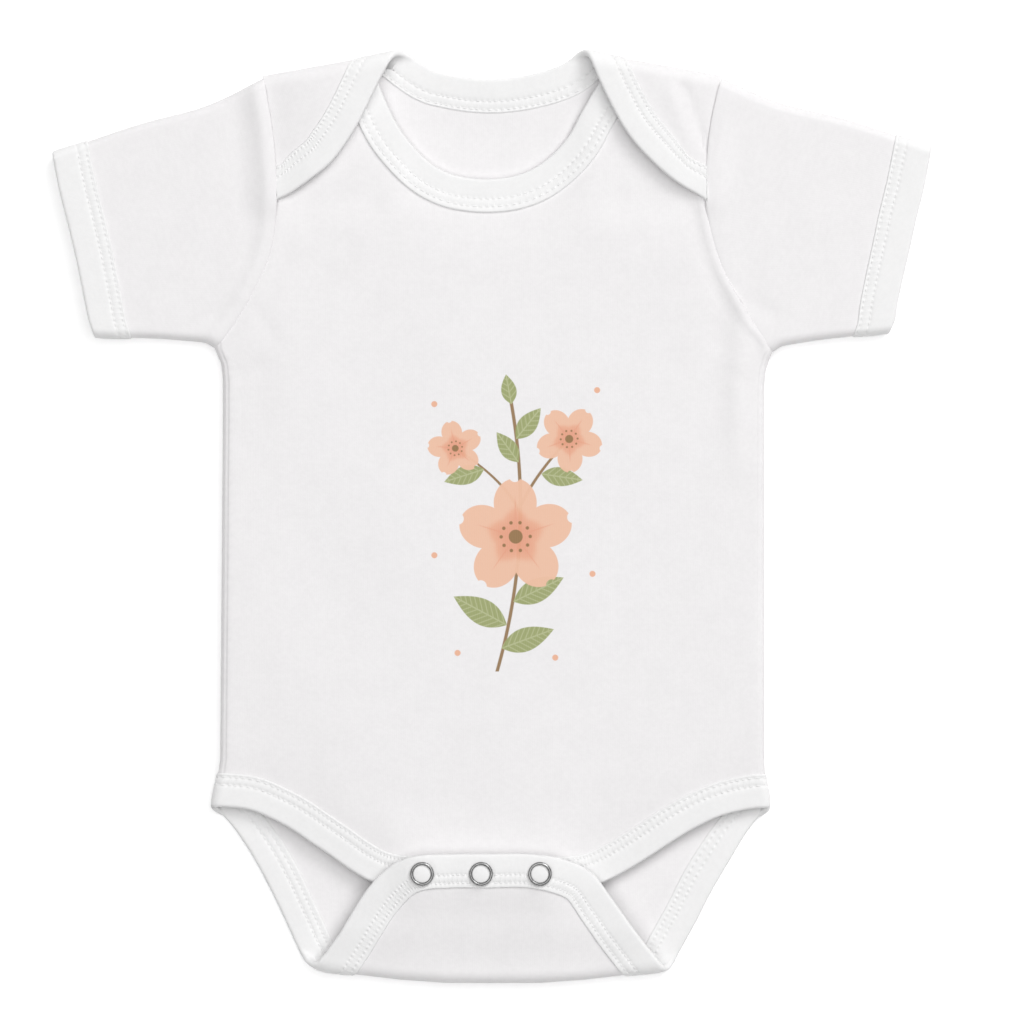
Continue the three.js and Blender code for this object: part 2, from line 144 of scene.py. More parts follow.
# %% Levels of the layers and the lines of the folds
THICK = 0.9  # one layer of jersey
BACK_LEVEL = 1.6
FRONT_LEVEL = 8.65
LAP_LEVEL = 11.5
FLAP_LEVEL = 12.3
SEAM_LEVEL = 4.9  # where the front and the back meet at the sides
SIDE_START = 115.2  # where both begin to turn towards the side seam
SIDE_RADIUS = 2.8
SIDE_END = SIDE_START + SIDE_RADIUS * math.pi / 2  # the side seam in the flat drawing
FOLD_RADIUS = 5.4  # of the shoulder folds
FLAP_RADIUS = 4.6  # of the crotch fold
SHOULDER_NECK = (40.0, 200.7)
SHOULDER_TIP = (98.8, 190.3)
CROTCH_LINE = -200.2
SNAP_ROW = (-4.9, -152.7)
SNAP_SPACING = 25.3
SNAPS = [(SNAP_ROW[0] + i * SNAP_SPACING, SNAP_ROW[1]) for i in (-1, 0, 1)]
print("width of the body between its side seams:", round(2 * SIDE_END))


class Fold:
    """Cloth that turns beyond a line and rises to the level that `top` gives.

    `bow` says how much sooner it turns at each distance from the middle of the garment.
    """

    def __init__(self, start, out, radius, turn, top, holds, bow=((0,), (0,))):
        self.start = np.array(start, float)
        self.out = np.array(out, float)
        self.radius = radius
        self.turn = turn
        self.top = top
        self.holds = holds
        self.bow = bow

    def reach(self, p):
        return (p - self.start) @ self.out + np.interp(np.abs(p[:, 0]), *self.bow)

    def place(self, p):
        """Where flat points lie in plan, and their share of the rise."""
        reach = self.reach(p)
        angle = np.clip(reach / self.radius, 0, math.pi)
        past = reach - self.radius * angle
        shift = self.radius * np.sin(angle) + past * np.cos(angle) - reach
        share = (1 - np.cos(angle)) / (1 - math.cos(self.turn))
        return p + shift[:, None] * self.out, share

    def unfolded(self, points):
        """The flat points that a half turn brings over the given places."""
        p = np.array(points, float)
        return p + (math.pi * self.radius - 2 * self.reach(p))[:, None] * self.out


# %% [markdown]
# ### Outlines
# These are the seams and edges as they lie. The armhole is a long S from the shoulder to the
# underarm, and each side of the garment lies a little differently, so left and right have their own.

# %% Seams and edges in plan
ARMHOLE_LEFT = smooth([
    (-98.6, 190.0), (-97.2, 181.0), (-95.7, 172.4), (-94.4, 162.5), (-93.4, 149.6), (-93.1, 136.7),
    (-94.0, 126.0), (-96.6, 112.0), (-99.4, 105.5), (-104.6, 94.5), (-110.4, 85.2), (-118.8, 73.4),
], 3.0)
ARMHOLE_RIGHT = smooth([
    (98.6, 190.0), (96.1, 179.7), (94.0, 169.0), (92.7, 156.1), (92.0, 145.3), (92.2, 135.5),
    (94.4, 123.0), (98.4, 109.7), (101.6, 102.3), (107.7, 91.6), (112.0, 84.4), (119.8, 71.6),
], 3.0)
NECK_FRONT = smooth([
    (47.6, 190.2), (45.8, 187.5), (42.0, 181.2), (37.4, 173.2), (32.5, 164.3), (25.0, 156.0),
    (16.5, 150.0), (8.0, 147.0), (-1.0, 146.0), (-10.0, 146.5), (-18.3, 148.4), (-27.0, 153.2),
    (-35.5, 161.8), (-40.8, 169.0), (-46.0, 179.5), (-50.6, 191.0),
], 0.6)
LAP_LEFT = [
    (-93.5, 136.2), (-87.1, 139.3), (-78.5, 145.3), (-69.9, 152.2), (-63.4, 160.4), (-57.8, 169.4),
    (-52.2, 180.6), (-48.6, 188.0),
]
LAP_RIGHT = [
    (92.7, 135.6), (89.2, 138.2), (80.6, 143.2), (73.7, 148.4), (66.9, 154.8), (61.3, 160.8),
    (55.7, 168.6), (49.8, 179.6), (46.2, 187.1),
]
NECK_BACK = [
    (32.0, 196.6), (24.7, 193.4), (16.1, 191.1), (7.5, 189.7), (-0.2, 189.2), (-8.5, 189.6),
    (-18.3, 191.2), (-26.9, 193.7),
]
LEG_FRONT = smooth([
    (-SIDE_END, -124.4), (-114.0, -124.4), (-104.3, -125.6), (-95.7, -129.2), (-87.1, -133.7),
    (-78.5, -139.5), (-69.9, -145.3), (-61.3, -151.4), (-52.5, -156.4), (-44.0, -159.0),
    (-30.0, -160.2), (0.0, -160.4), (30.0, -160.2), (42.0, -158.8), (51.0, -155.4), (59.1, -151.0),
    (67.7, -145.7), (76.3, -140.0), (85.4, -134.4), (93.5, -130.3), (102.1, -127.2),
    (114.0, -124.9), (SIDE_END, -124.9),
], 0.6)
LEG_BACK_LEFT = [
    (-SIDE_END, -125.4), (-117.0, -127.6), (-112.9, -131.9), (-104.6, -143.8), (-96.2, -159.1),
    (-87.7, -177.0), (-83.1, -187.0),
]
LEG_BACK_RIGHT = [
    (81.4, -185.4), (87.9, -173.6), (94.2, -161.2), (100.6, -150.2), (106.8, -140.4), (113.0, -132.3),
    (117.0, -128.2), (SIDE_END, -125.9),
]
FLAP_SIDE_LEFT = [
    (-75.5, -190.6), (-70.8, -185.4), (-65.1, -177.2), (-60.0, -168.6), (-54.4, -160.0),
    (-48.4, -153.2), (-42.0, -148.2), (-34.6, -145.4),
]
FLAP_TOP = [(-22.0, -144.3), (-5.0, -144.2), (18.0, -144.4)]
FLAP_SIDE_RIGHT = [
    (29.0, -146.0), (41.9, -151.6), (51.0, -162.9), (58.7, -173.7), (66.9, -184.5), (71.5, -190.2),
]
# How much higher the crotch fold lies than in the middle, at each distance from the middle.
CROTCH_BOW = (
    (0, 20, 40, 58, 66, 72, 75, 78.5, 82, 88),
    (0, 0.1, 1.5, 3.6, 4.4, 5.4, 6.4, 8.6, 10.4, 12.4),
)
# The side seams: how far out they lie at each height.
SIDE_LEFT = [
    (73.4, 119.3), (66.0, 116.2), (58.0, 115.6), (46.0, 115.6), (-35.0, 116.2), (-104.0, 116.8),
    (-112.0, 118.0), (-119.0, 119.3), (-124.0, 119.8), (-128.0, 117.9),
]
SIDE_RIGHT = [
    (71.8, 120.2), (68.8, 118.9), (63.6, 117.2), (57.2, 116.6), (-104.0, 116.6), (-112.0, 117.0),
    (-120.0, 118.2), (-125.0, 118.0), (-129.0, 116.6),
]

# %% [markdown]
# ### Heights
# Lying cloth is never quite level. Each panel has a height function: its level, a slow seeded
# unevenness, the few soft creases that this garment has, and a tuck along each seam. The neck's
# front edge sinks because there is no neck inside, the leg edges sink where no leg holds them, and
# the flap is held up by its snaps. A height map on a plain sheet could do the creases, but not the
# folds, so height is a function that the folds can use too.


# %% Unevenness, creases and tucks
def wander(p, size, seed):
    """Slow seeded unevenness from about -1 to 1, with humps about `size` across."""
    draw = np.random.default_rng(seed)
    total = np.zeros(len(p))
    for _ in range(7):
        heading = draw.uniform(0, 2 * math.pi)
        waves = 2 * math.pi / (size * draw.uniform(1.2, 3.0))
        total += np.sin(waves * (p @ [math.cos(heading), math.sin(heading)]) + draw.uniform(0, 6.3))
    return total / 3.5


def crease(p, start, end, width, height):
    """A soft ridge from start to end, or a valley where its height is below 0."""
    start, end = np.array(start, float), np.array(end, float)
    run = end - start
    length = np.linalg.norm(run)
    along = (p - start) @ run / length
    across = (p - start) @ np.array([-run[1], run[0]]) / length
    fade = 0.3 * length
    ends = ease((along + fade / 2) / fade) * ease((length - along + fade / 2) / fade)
    return height * bell(across, width) * ends


def tuck(d, width=1.4):
    """1 at a seam, falling to 0 at `width` from it along a quarter circle."""
    return 1 - np.sqrt(1 - np.clip(1 - d / width, 0, 1) ** 2)


def seam_distance(p):
    """Distance to the nearer armhole seam."""
    found = np.full(len(p), 99.0)
    near = p[:, 1] > 60
    for line in (ARMHOLE_LEFT, ARMHOLE_RIGHT):
        found[near] = np.minimum(found[near], distance(p[near], line))
    return found


# %% Height of each layer
NECK_SINK = 3.6
LEG_SINK = 2.0
SNAP_LIFT = 2.7
FRONT_CREASES = [
    # where it starts and ends, its width and its height
    ((106.5, 126), (106.0, 26), 5.0, 1.1),
    ((96.0, 120), (95.0, 40), 6.0, -0.3),
    ((-103, 92), (-92, 74), 3.0, -0.4),
    ((-112, 60), (-98, 66), 3.0, -0.35),
    ((106, 88), (96, 72), 3.0, -0.4),
    ((111, 58), (100, 64), 3.0, -0.3),
    ((-84, 130), (-62, 118), 6.0, -0.3),
    ((80, 132), (60, 118), 6.0, -0.35),
    ((-40, 138), (-70, 112), 8.0, 0.25),
    ((-60, -112), (-30, -126), 7.0, -0.25),
]
LAP_CREASES = [
    ((81.5, 187), (91.5, 158), 2.6, -1.1),
    ((76, 185), (86.5, 157), 3.2, 0.8),
    ((-84, 184), (-90, 160), 5.0, 0.25),
]


def back_height(p):
    """The back lies flat, and is a little higher below the front's neck edge, which rests on it."""
    neck = distance(p, NECK_FRONT[::8])
    return BACK_LEVEL + 0.9 * tuck(seam_distance(p)) + 1.2 * bell(neck, 13)


def front_height(p):
    """The front sinks at its neck and leg edges and under the laps. The snaps lift it a little."""
    out = np.abs(p[:, 0])
    seam = seam_distance(p)
    neck = distance(p, NECK_FRONT[::8])
    leg = distance(p, LEG_FRONT[::8])
    under_lap = ease((p[:, 1] - 122) / 18) * ease((out - 38) / 18) * ease((seam - 1) / 11)
    from_snaps = np.abs(p[:, 0] - SNAP_ROW[0])
    under_flap = bell(p[:, 1] + 148, 12) * (1 - ease((from_snaps - 30) / 20))
    level = FRONT_LEVEL + 1.3 * under_flap - 1.5 * under_lap + 0.3 * wander(p, 42, 3)
    level -= NECK_SINK * bell(neck, 20) * ease((60 - out) / 30)
    level -= LEG_SINK * bell(leg, 18) * ease((out - 24) / 24)
    for named in FRONT_CREASES:
        level += crease(p, *named)
    beside_seam = 0.3 + 0.3 * (p[:, 0] > 0)
    level += beside_seam * bell(seam - 2.2, 1.6) - 0.3 * bell(seam - 6.5, 3.0)
    return level - 0.2 * tuck(seam)


def lap_height(p):
    """A lap rests on the front, and comes down to the sleeve at the armhole seam."""
    seam = seam_distance(p)
    level = LAP_LEVEL - 1.9 * bell(seam, 13) + 0.18 * wander(p, 30, 5)
    for named in LAP_CREASES:
        level += crease(p, *named)
    return level - 0.2 * tuck(seam)


def flap_height(p):
    """The snaps hold the flap up along their row, and it falls away below and beside them."""
    from_snaps = np.abs(p[:, 0] - SNAP_ROW[0])
    held = bell(p[:, 1] - SNAP_ROW[1], 17) * (1 - ease((from_snaps - 26) / 16))
    between = 0.5 - 0.5 * np.cos(2 * math.pi * (p[:, 0] - SNAP_ROW[0]) / SNAP_SPACING)
    below = 0.8 * ease((-156 - p[:, 1]) / 18) + 1.9 * ease((-174 - p[:, 1]) / 20)
    beside = 1.3 * ease((from_snaps - 30) / 26)
    lifted = (SNAP_LIFT - 0.45 * between) * held
    return FLAP_LEVEL + lifted - below - beside + 0.12 * wander(p, 26, 8)


def seam_height(p):
    return np.full(len(p), SEAM_LEVEL)


# %% [markdown]
# ### Surfaces
# A surface takes flat points and gives points in space. Beyond the folds it also bends the side
# seams to the line that the garment really has: a little in at the underarm, a little out at the leg.

# %% Surfaces of the back and the front
shoulder_run = np.array(SHOULDER_TIP) - SHOULDER_NECK
shoulder_run /= np.linalg.norm(shoulder_run)


def shoulder_fold(side):
    out = np.array([-side * shoulder_run[1], shoulder_run[0]])
    tip = np.array([side * SHOULDER_TIP[0], SHOULDER_TIP[1]])
    start = tip - out * (FOLD_RADIUS + THICK / 2)

    def holds(p):
        return (p[:, 0] * side > 0) & (p[:, 1] > 0)

    return Fold(start, out, FOLD_RADIUS, math.pi, lap_height, holds)


def side_fold(side):
    def holds(p):
        return (p[:, 0] * side > SIDE_START) & (p[:, 1] < 90)

    return Fold((side * SIDE_START, 0), (side, 0), SIDE_RADIUS, math.pi / 2, seam_height, holds)


def crotch_fold():
    def holds(p):
        return p[:, 1] < -150

    start = (0, CROTCH_LINE + FLAP_RADIUS + THICK / 2)
    return Fold(start, (0, -1), FLAP_RADIUS, math.pi, flap_height, holds, CROTCH_BOW)


shoulder_left, shoulder_right = shoulder_fold(-1), shoulder_fold(1)
sides = [side_fold(-1), side_fold(1)]
crotch = crotch_fold()


def settled(q):
    """Plan positions with the side seams bent to the lines they really have."""
    q = q.copy()
    for side, line in ((-1, SIDE_LEFT), (1, SIDE_RIGHT)):
        y, x = np.array(line[::-1]).T
        change = np.interp(q[:, 1], y, x) - (SIDE_START + SIDE_RADIUS)
        near_side = ease((q[:, 0] * side - 90) / 28)
        on_body = ease((85 - q[:, 1]) / 12) * ease((q[:, 1] + 150) / 20)
        q[:, 0] += side * change * near_side * on_body
    return q


def surface(folds, height):
    """The function that lays flat points of a panel in space."""

    def lay(p):
        q = p.copy()
        rise = np.zeros(len(p))
        for fold in folds:
            held = fold.holds(p)
            if held.any():
                q[held], share = fold.place(p[held])
                rise[held] = share * (fold.top(q[held]) - height(q[held]))
        return np.column_stack([settled(q), height(q) + rise])

    return lay


back_surface = surface([shoulder_left, shoulder_right, crotch, *sides], back_height)
front_surface = surface(sides, front_height)
NUDGE = 0.05


def normals(lay, p):
    across = lay(p + [NUDGE, 0]) - lay(p - [NUDGE, 0])
    along = lay(p + [0, NUDGE]) - lay(p - [0, NUDGE])
    n = np.cross(across, along)
    return n / np.linalg.norm(n, axis=1)[:, None]


def raised(lay, p, height):
    """Points of a surface moved off it by a height, along its normals."""
    return lay(p) + normals(lay, p) * np.reshape(height, (-1, 1))


# %% [markdown]
# ### The sleeves' surface
# A sleeve is a flat tube. Its flat drawing has one axis round the tube and one up the arm. In plan it
# is a patch ruled from the hem to the armhole, whose upper and lower edges sag a little, and its
# height goes round a flattened ellipse. Beside the left armhole the cloth stands up in a soft roll.

# %% Surface of a sleeve
HEM_LEFT = [
    (-189.4, 155.4), (-186.4, 140.2), (-182.7, 125.6), (-178.8, 109.2), (-175.6, 93.7),
    (-173.6, 84.3), (-171.6, 79.0),
]
HEM_RIGHT = [
    (188.9, 159.0), (185.6, 141.9), (182.2, 128.1), (179.6, 116.1), (176.6, 103.2), (174.3, 92.5),
    (173.0, 84.6), (171.0, 80.8),
]
TUBE_RADIUS = 2.8
SLEEVE_LEVEL = (1.6, 8.9)  # bottom and top layer


def along_line(line, share):
    """Points of a line at shares of its length, carried on straight past its ends."""
    at = np.linspace(0, 1, len(line))
    inside = np.column_stack([np.interp(share, at, line[:, k]) for k in (0, 1)])
    slope = (line[-1] - line[-3]) / (at[-1] - at[-3])
    first = (line[2] - line[0]) / at[2]
    inside += np.clip(share - 1, 0, None)[:, None] * slope
    return inside + np.clip(share, None, 0)[:, None] * first


class Sleeve:
    """A sleeve's flat drawing: x runs round the tube and y goes in from the hem.

    `sag` has the upper edge's rise at the hem and its dip near the armhole, and the lower edge's
    rise. `valley` lists creases, and `roll` is the height of the roll beside the armhole.
    """

    def __init__(self, side, hem, armhole, sag, valley, roll):
        self.side = side
        self.roll = roll
        self.hem = smooth(hem, 1.5)
        self.armhole = armhole - [side * 0.15, 0]
        self.sag = sag
        self.valley = valley
        self.width = np.linalg.norm(np.diff(self.hem, axis=0), axis=1).sum()
        self.flat = self.width - 2 * TUBE_RADIUS
        self.bend = math.pi * TUBE_RADIUS
        self.girth = 2 * (self.flat + self.bend)

    def round_tube(self, x):
        """The share of the tube's width and the angle round its edge."""
        x = np.mod(x, self.girth)
        top = np.clip(x, 0, self.flat)
        down = np.clip(x - self.flat, 0, self.bend) / TUBE_RADIUS
        bottom = np.clip(x - self.flat - self.bend, 0, self.flat)
        up = np.clip(x - 2 * self.flat - self.bend, 0, self.bend) / TUBE_RADIUS
        return (top - bottom) / self.flat, math.pi / 2 - down - up

    def plan(self, share, part):
        """The patch between the hem (part 0) and the armhole (part 1)."""
        hem = along_line(self.hem, share)
        arm = along_line(self.armhole, share)
        p = hem + (arm - hem) * part[:, None]
        upper = self.sag[0] * bell(part, 0.2) - self.sag[1] * bell(part - 0.74, 0.25)
        lower = self.sag[2] * (1 - bell(part, 0.45)) * (1 - bell(1 - part, 0.06))
        p[:, 1] += (1 - share) * upper + share * lower
        return p

    def lay(self, p):
        share, angle = self.share_at(p[:, 0])
        length = self.length_at(p[:, 0])
        part = p[:, 1] / length
        plan = self.plan(share, part)
        low, high = SLEEVE_LEVEL
        seam = length - p[:, 1]
        beside_lap = ease((plan[:, 1] - 127) / 11) * ease((16.5 - seam) / 13)
        high = high + 1.5 * beside_lap + 0.16 * wander(plan, 30, 11 + self.side)
        for named in self.valley:
            high = high + crease(plan, *named)
        ridge = self.roll * bell(seam - 3.8, 3.4) - 0.25 * tuck(seam)
        high = high + ridge
        low = low - np.minimum(ridge, 0) + 0.2
        z = (high + low) / 2 + (high - low) / 2 * np.sin(angle)
        return np.column_stack([plan, z])

    def share_at(self, x):
        """The share of the sleeve's width that a place round the tube has in plan, and its angle."""
        across, angle = self.round_tube(x)
        return (TUBE_RADIUS * (1 + np.cos(angle)) + self.flat * across) / self.width, angle

    def length_at(self, x):
        """How far the armhole is from the hem, along each line of the tube."""
        share, _ = self.share_at(x)
        hem, arm = self.plan(share, np.zeros(len(x))), self.plan(share, np.ones(len(x)))
        return np.linalg.norm(arm - hem, axis=1)


LEFT_VALLEYS = [
    ((-108.6, 184), (-107.6, 128), 5.0, -0.35),
    ((-122, 84), (-110, 92), 3.5, -0.4),
]
RIGHT_VALLEYS = [((106, 178), (101, 130), 4.0, -0.5), ((122, 86), (110, 94), 3.5, -0.4)]
sleeve_left = Sleeve(-1, HEM_LEFT, ARMHOLE_LEFT, (0.8, 3.7, 2.0), LEFT_VALLEYS, 1.1)
sleeve_right = Sleeve(1, HEM_RIGHT, ARMHOLE_RIGHT, (-0.2, 3.2, 2.0), RIGHT_VALLEYS, 0.1)
print("sleeve width at the hem:", round(sleeve_left.width), round(sleeve_right.width))

# %% [markdown]
# ## Making meshes
# Every piece keeps its flat coordinates as a UV map called "pattern", in millimetres. The knit, the
# ribs and the print are drawn on that map, so they follow the cloth round each fold.


# %% Mesh helpers
def enclosed(points, faces):
    """Six times the volume that the faces enclose, which is below 0 if they look inwards."""
    fans = [(face[0], face[i], face[i + 1]) for face in faces for i in range(1, len(face) - 1)]
    a, b, c = (points[corners] for corners in np.array(fans).T)
    return np.einsum("ij,ij->", a, np.cross(b, c))


def add_mesh(name, points, faces, pattern, materials, choice=None, sharp=None):
    """A mesh object that rides on the garment. `pattern` gives each point its flat place.

    `choice` numbers the material of each face, and edges turning by `sharp` degrees stay sharp.
    """
    mesh = bpy.data.meshes.new(name)
    if enclosed(points, faces) < 0:
        faces = [face[::-1] for face in faces]
    mesh.from_pydata((np.asarray(points) * MM).tolist(), [], faces)
    mesh.validate()
    layer = mesh.uv_layers.new(name="pattern")
    corner = np.empty(len(mesh.loops), int)
    mesh.loops.foreach_get("vertex_index", corner)
    layer.data.foreach_set("uv", np.asarray(pattern, float)[corner].ravel())
    for material in materials:
        mesh.materials.append(material)
    if choice is not None:
        mesh.polygons.foreach_set("material_index", choice)
    mesh.shade_smooth()
    if sharp:
        mesh.set_sharp_from_angle(angle=math.radians(sharp))
    obj = bpy.data.objects.new(name, mesh)
    bpy.context.scene.collection.objects.link(obj)
    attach(obj, "root")
    print(name, "has", len(faces), "faces")
    return obj


def joined(count, size, first=0, loop=False, capped=False):
    """Faces that join `count` rings of `size` points each, starting at point `first`.

    `loop` joins the last ring to the first one, and `capped` closes both ends.
    """
    faces = []
    for i in range(count if loop else count - 1):
        here = first + i * size
        there = first + (i + 1) % count * size
        for j in range(size):
            k = (j + 1) % size
            faces.append([here + j, here + k, there + k, there + j])
    if capped:
        last = first + (count - 1) * size
        faces.append([first + j for j in reversed(range(size))])
        faces.append([last + j for j in range(size)])
    return faces


def shell(lay, flat, faces):
    """Both faces of a layer of cloth and the edge that joins them."""
    count = len(flat)
    points = np.vstack([raised(lay, flat, THICK / 2), raised(lay, flat, -THICK / 2)])
    open_edges = {}
    for face in faces:
        for a, b in zip(face, [*face[1:], face[0]]):
            if open_edges.pop((b, a), None) is None:
                open_edges[a, b] = True
    under = [[i + count for i in reversed(face)] for face in faces]
    walls = [[b, a, a + count, b + count] for a, b in open_edges]
    return points, [*faces, *under, *walls], np.vstack([flat, flat])


# %% [markdown]
# ## Materials
# Shader nodes are easier to read as sums. This small class wraps a socket: arithmetic on it adds Math
# nodes, and `node` adds any other node.


# %% Shader sums
class Wire:
    """A socket in a material's node tree."""

    def __init__(self, tree, socket=None):
        self.tree = tree
        self.socket = socket

    def node(self, kind, settings=None, inputs=None, output=0):
        made = self.tree.nodes.new("ShaderNode" + kind)
        for name, value in (settings or {}).items():
            setattr(made, name, value)
        for name, value in (inputs or {}).items():
            if isinstance(value, Wire):
                self.tree.links.new(value.socket, made.inputs[name])
            else:
                made.inputs[name].default_value = value
        return Wire(self.tree, made.outputs[output])

    def math(self, operation, *values, clamp=False):
        settings = {"operation": operation, "use_clamp": clamp}
        return self.node("Math", settings, dict(enumerate([self, *values])))

    def __add__(self, other):
        return self.math("ADD", other)

    def __mul__(self, other):
        return self.math("MULTIPLY", other)

    def __sub__(self, other):
        return self.math("SUBTRACT", other)

    def __rsub__(self, other):
        return (self * -1) + other

    __radd__ = __add__
    __rmul__ = __mul__

    def part(self, axis):
        """One coordinate of a vector: 0 for x and 1 for y."""
        return self.node("SeparateXYZ", {}, {0: self}, axis)

    def soft(self, low, high):
        """A smooth step from 0 at `low` to 1 at `high`."""
        settings = {"interpolation_type": "SMOOTHSTEP"}
        return self.node("MapRange", settings, {"Value": self, "From Min": low, "From Max": high})

    def least(self, other):
        return self.math("MINIMUM", other)

    def most(self, other):
        return self.math("MAXIMUM", other)


def span(x, y):
    """The length of the vector (x, y)."""
    return (x * x + y * y).math("SQRT")


def mixed(mask, first, second):
    """The first colour where the mask is 0 and the second where it is 1."""
    return mask.node("Mix", {"data_type": "RGBA"}, {0: mask, 6: first, 7: second}, 2)


def new_material(name, constants):
    """A material with its constant shader values set, its shader and a wire to start sums from."""
    material = bpy.data.materials.new(name)
    material.use_nodes = True
    shader = material.node_tree.nodes["Principled BSDF"]
    for socket, value in constants.items():
        shader.inputs[socket].default_value = value
    return material, shader, Wire(material.node_tree)


def feed(shader, socket, wire):
    wire.tree.links.new(wire.socket, shader.inputs[socket])


# %% [markdown]
# ### Cotton
# White jersey is matt and faintly mottled, because the yarn is uneven. Its face is a field of small
# V-shaped loops in columns, and its colour is painted a little darker between the loops, as painted
# shade. The rib of the bindings has the same yarn in closer columns. The loops are too small to model,
# so they are bump, while the puffy rolls and the stitches are real geometry.
# The front's side seams are pressed flat inside the edge, and show as a fine groove in its bump.

# %% Cotton knits
JERSEY_WHITE = (0.788, 0.775, 0.781, 1)
JERSEY_SHADE = (0.750, 0.737, 0.743, 1)
RIB_WHITE = (0.800, 0.797, 0.797, 1)
RIB_SHADE = (0.765, 0.762, 0.762, 1)
JERSEY_LOOPS = (0.78, 0.62)  # spacing of the columns and of the rows of loops
RIB_LOOPS = (0.62, 0.55)
THREAD_LOOPS = (0.35, 0.30)  # the twist of the sewing thread


def noise(at, scale, detail, roughness=0.5):
    """Soft random mottling, from about 0.3 to 0.7."""
    inputs = {"Vector": at, "Scale": scale, "Detail": detail, "Roughness": roughness}
    return at.node("TexNoise", {}, inputs)


def knit_height(at, loops):
    """Columns of V-shaped loops on the flat pattern, from 0 to 1."""
    x = at.part(0) * (1 / loops[0])
    y = at.part(1) * (1 / loops[1])
    wobble = noise(at, 0.35, 2.0)
    x = x + wobble * 0.35
    side = (x.math("FRACT") - 0.5).math("ABSOLUTE")
    column = 1 - side * 2
    lean = (y + side * 1.3).math("FRACT") - 0.5
    loop = 1 - lean.math("ABSOLUTE") * 2
    return column.soft(0.0, 0.7) * 0.6 + loop.soft(0.1, 0.9) * column.soft(0, 0.5) * 0.4


def cotton(name, loops, strength, white, shade, tint=None, seam=None):
    """A white knit. `tint` paints the base colour further, and `seam` is how far out a seam lies."""
    constants = {"Sheen Weight": 0.12, "Sheen Roughness": 0.6, "Specular IOR Level": 0.25}
    material, shader, start = new_material(name, constants)
    at = start.node("UVMap", {"uv_map": "pattern"})
    cloud = noise(at, 0.09, 3.0, 0.6)
    fleck = noise(at, 0.42, 4.0, 0.75)
    knit = knit_height(at, loops)
    # random mottling of the yarn, plus painted shade in the hollows between the loops of the knit
    mottle_and_loop_shade = cloud.soft(0.35, 0.7) * 0.38 + fleck.soft(0.35, 0.65) * 0.56 + (1 - knit) * 0.06
    colour = mixed(mottle_and_loop_shade, white, shade)
    if tint:
        colour = tint(at, colour, knit)
    feed(shader, "Base Color", colour)
    feed(shader, "Roughness", 0.86 + fleck * 0.12)
    relief = knit * 0.035 + fleck * 0.22 + cloud * 0.25
    if seam:
        from_seam = (at.part(0).math("ABSOLUTE") - seam).math("ABSOLUTE")
        relief = relief + from_seam.soft(0.1, 0.9)
    bump = start.node("Bump", {}, {"Strength": strength, "Distance": MM, "Height": relief})
    feed(shader, "Normal", bump)
    return material


jersey = cotton("white jersey", JERSEY_LOOPS, 0.25, JERSEY_WHITE, JERSEY_SHADE)
rib = cotton("white rib", RIB_LOOPS, 0.25, RIB_WHITE, RIB_SHADE)
thread = cotton("sewing thread", THREAD_LOOPS, 0.4, RIB_WHITE, RIB_SHADE)
print("nodes in the jersey's material:", len(jersey.node_tree.nodes))

# %% [markdown]
# ### Print
# The chest carries a printed sprig in coral, green and brown: blossoms, leaves and a stem, drawn
# with a few shapes on the flat pattern. A picture file could carry it, but shapes in the material
# stay sharp at any size. Ink lies on the loops of the knit and leaves a little white between them,
# so the print is thinned by the same knit.

# %% Printed sprig
CORAL = (0.748, 0.410, 0.275, 1)
DEEP_CORAL = (0.690, 0.290, 0.185, 1)
PALE_CORAL = (0.760, 0.470, 0.335, 1)
GREEN = (0.295, 0.330, 0.135, 1)
PALE_GREEN = (0.450, 0.480, 0.270, 1)
BROWN = (0.274, 0.169, 0.078, 1)
INK_EDGE = 0.35  # softness of an ink edge on the knit
BLOSSOMS = [
    # middle, radius and turn
    (10.0, -8.0, 25.0, 0.3), (33.0, 34.0, 14.5, 0.9), (-16.0, 30.0, 12.0, 0.1),
]
LEAVES = [
    # where it leaves the stem, its length and width, and its heading
    (3.9, -56.0, 24.0, 10.0, 0.35), (6.2, -46.0, 26.0, 11.0, 2.65), (9.0, -36.0, 24.0, 10.0, 0.45),
    (21.0, 19.0, 18.0, 8.0, -0.15), (-3.6, 21.0, 18.0, 8.0, 3.45), (11.2, 24.0, 16.0, 7.5, 2.2),
    (10.2, 34.0, 17.0, 8.0, 0.9), (8.1, 49.0, 13.0, 6.5, 1.75),
]
STEMS = [
    # height range, then the sideways place as a + b*y + c*y*y
    (-66.0, 50.0, 12.0, 0.0198, -0.0020),
    (4.0, 34.0, 9.91, 0.373, 0.0090),
    (1.0, 30.0, 12.8, -0.36, -0.0200),
]
SPOTS = [(-25.0, 49.0), (45.0, 55.0), (-25.0, -16.0), (43.0, -24.0), (-15.0, -58.0), (27.0, -60.0)]
SPOT_RADIUS = 1.3
STEM_HALF_WIDTH = 0.75


def inked(depth):
    """1 inside a shape, where `depth` is the distance in from its outline, and 0 outside."""
    return (depth * (1 / INK_EDGE) + 0.5).math("ADD", 0.0, clamp=True)


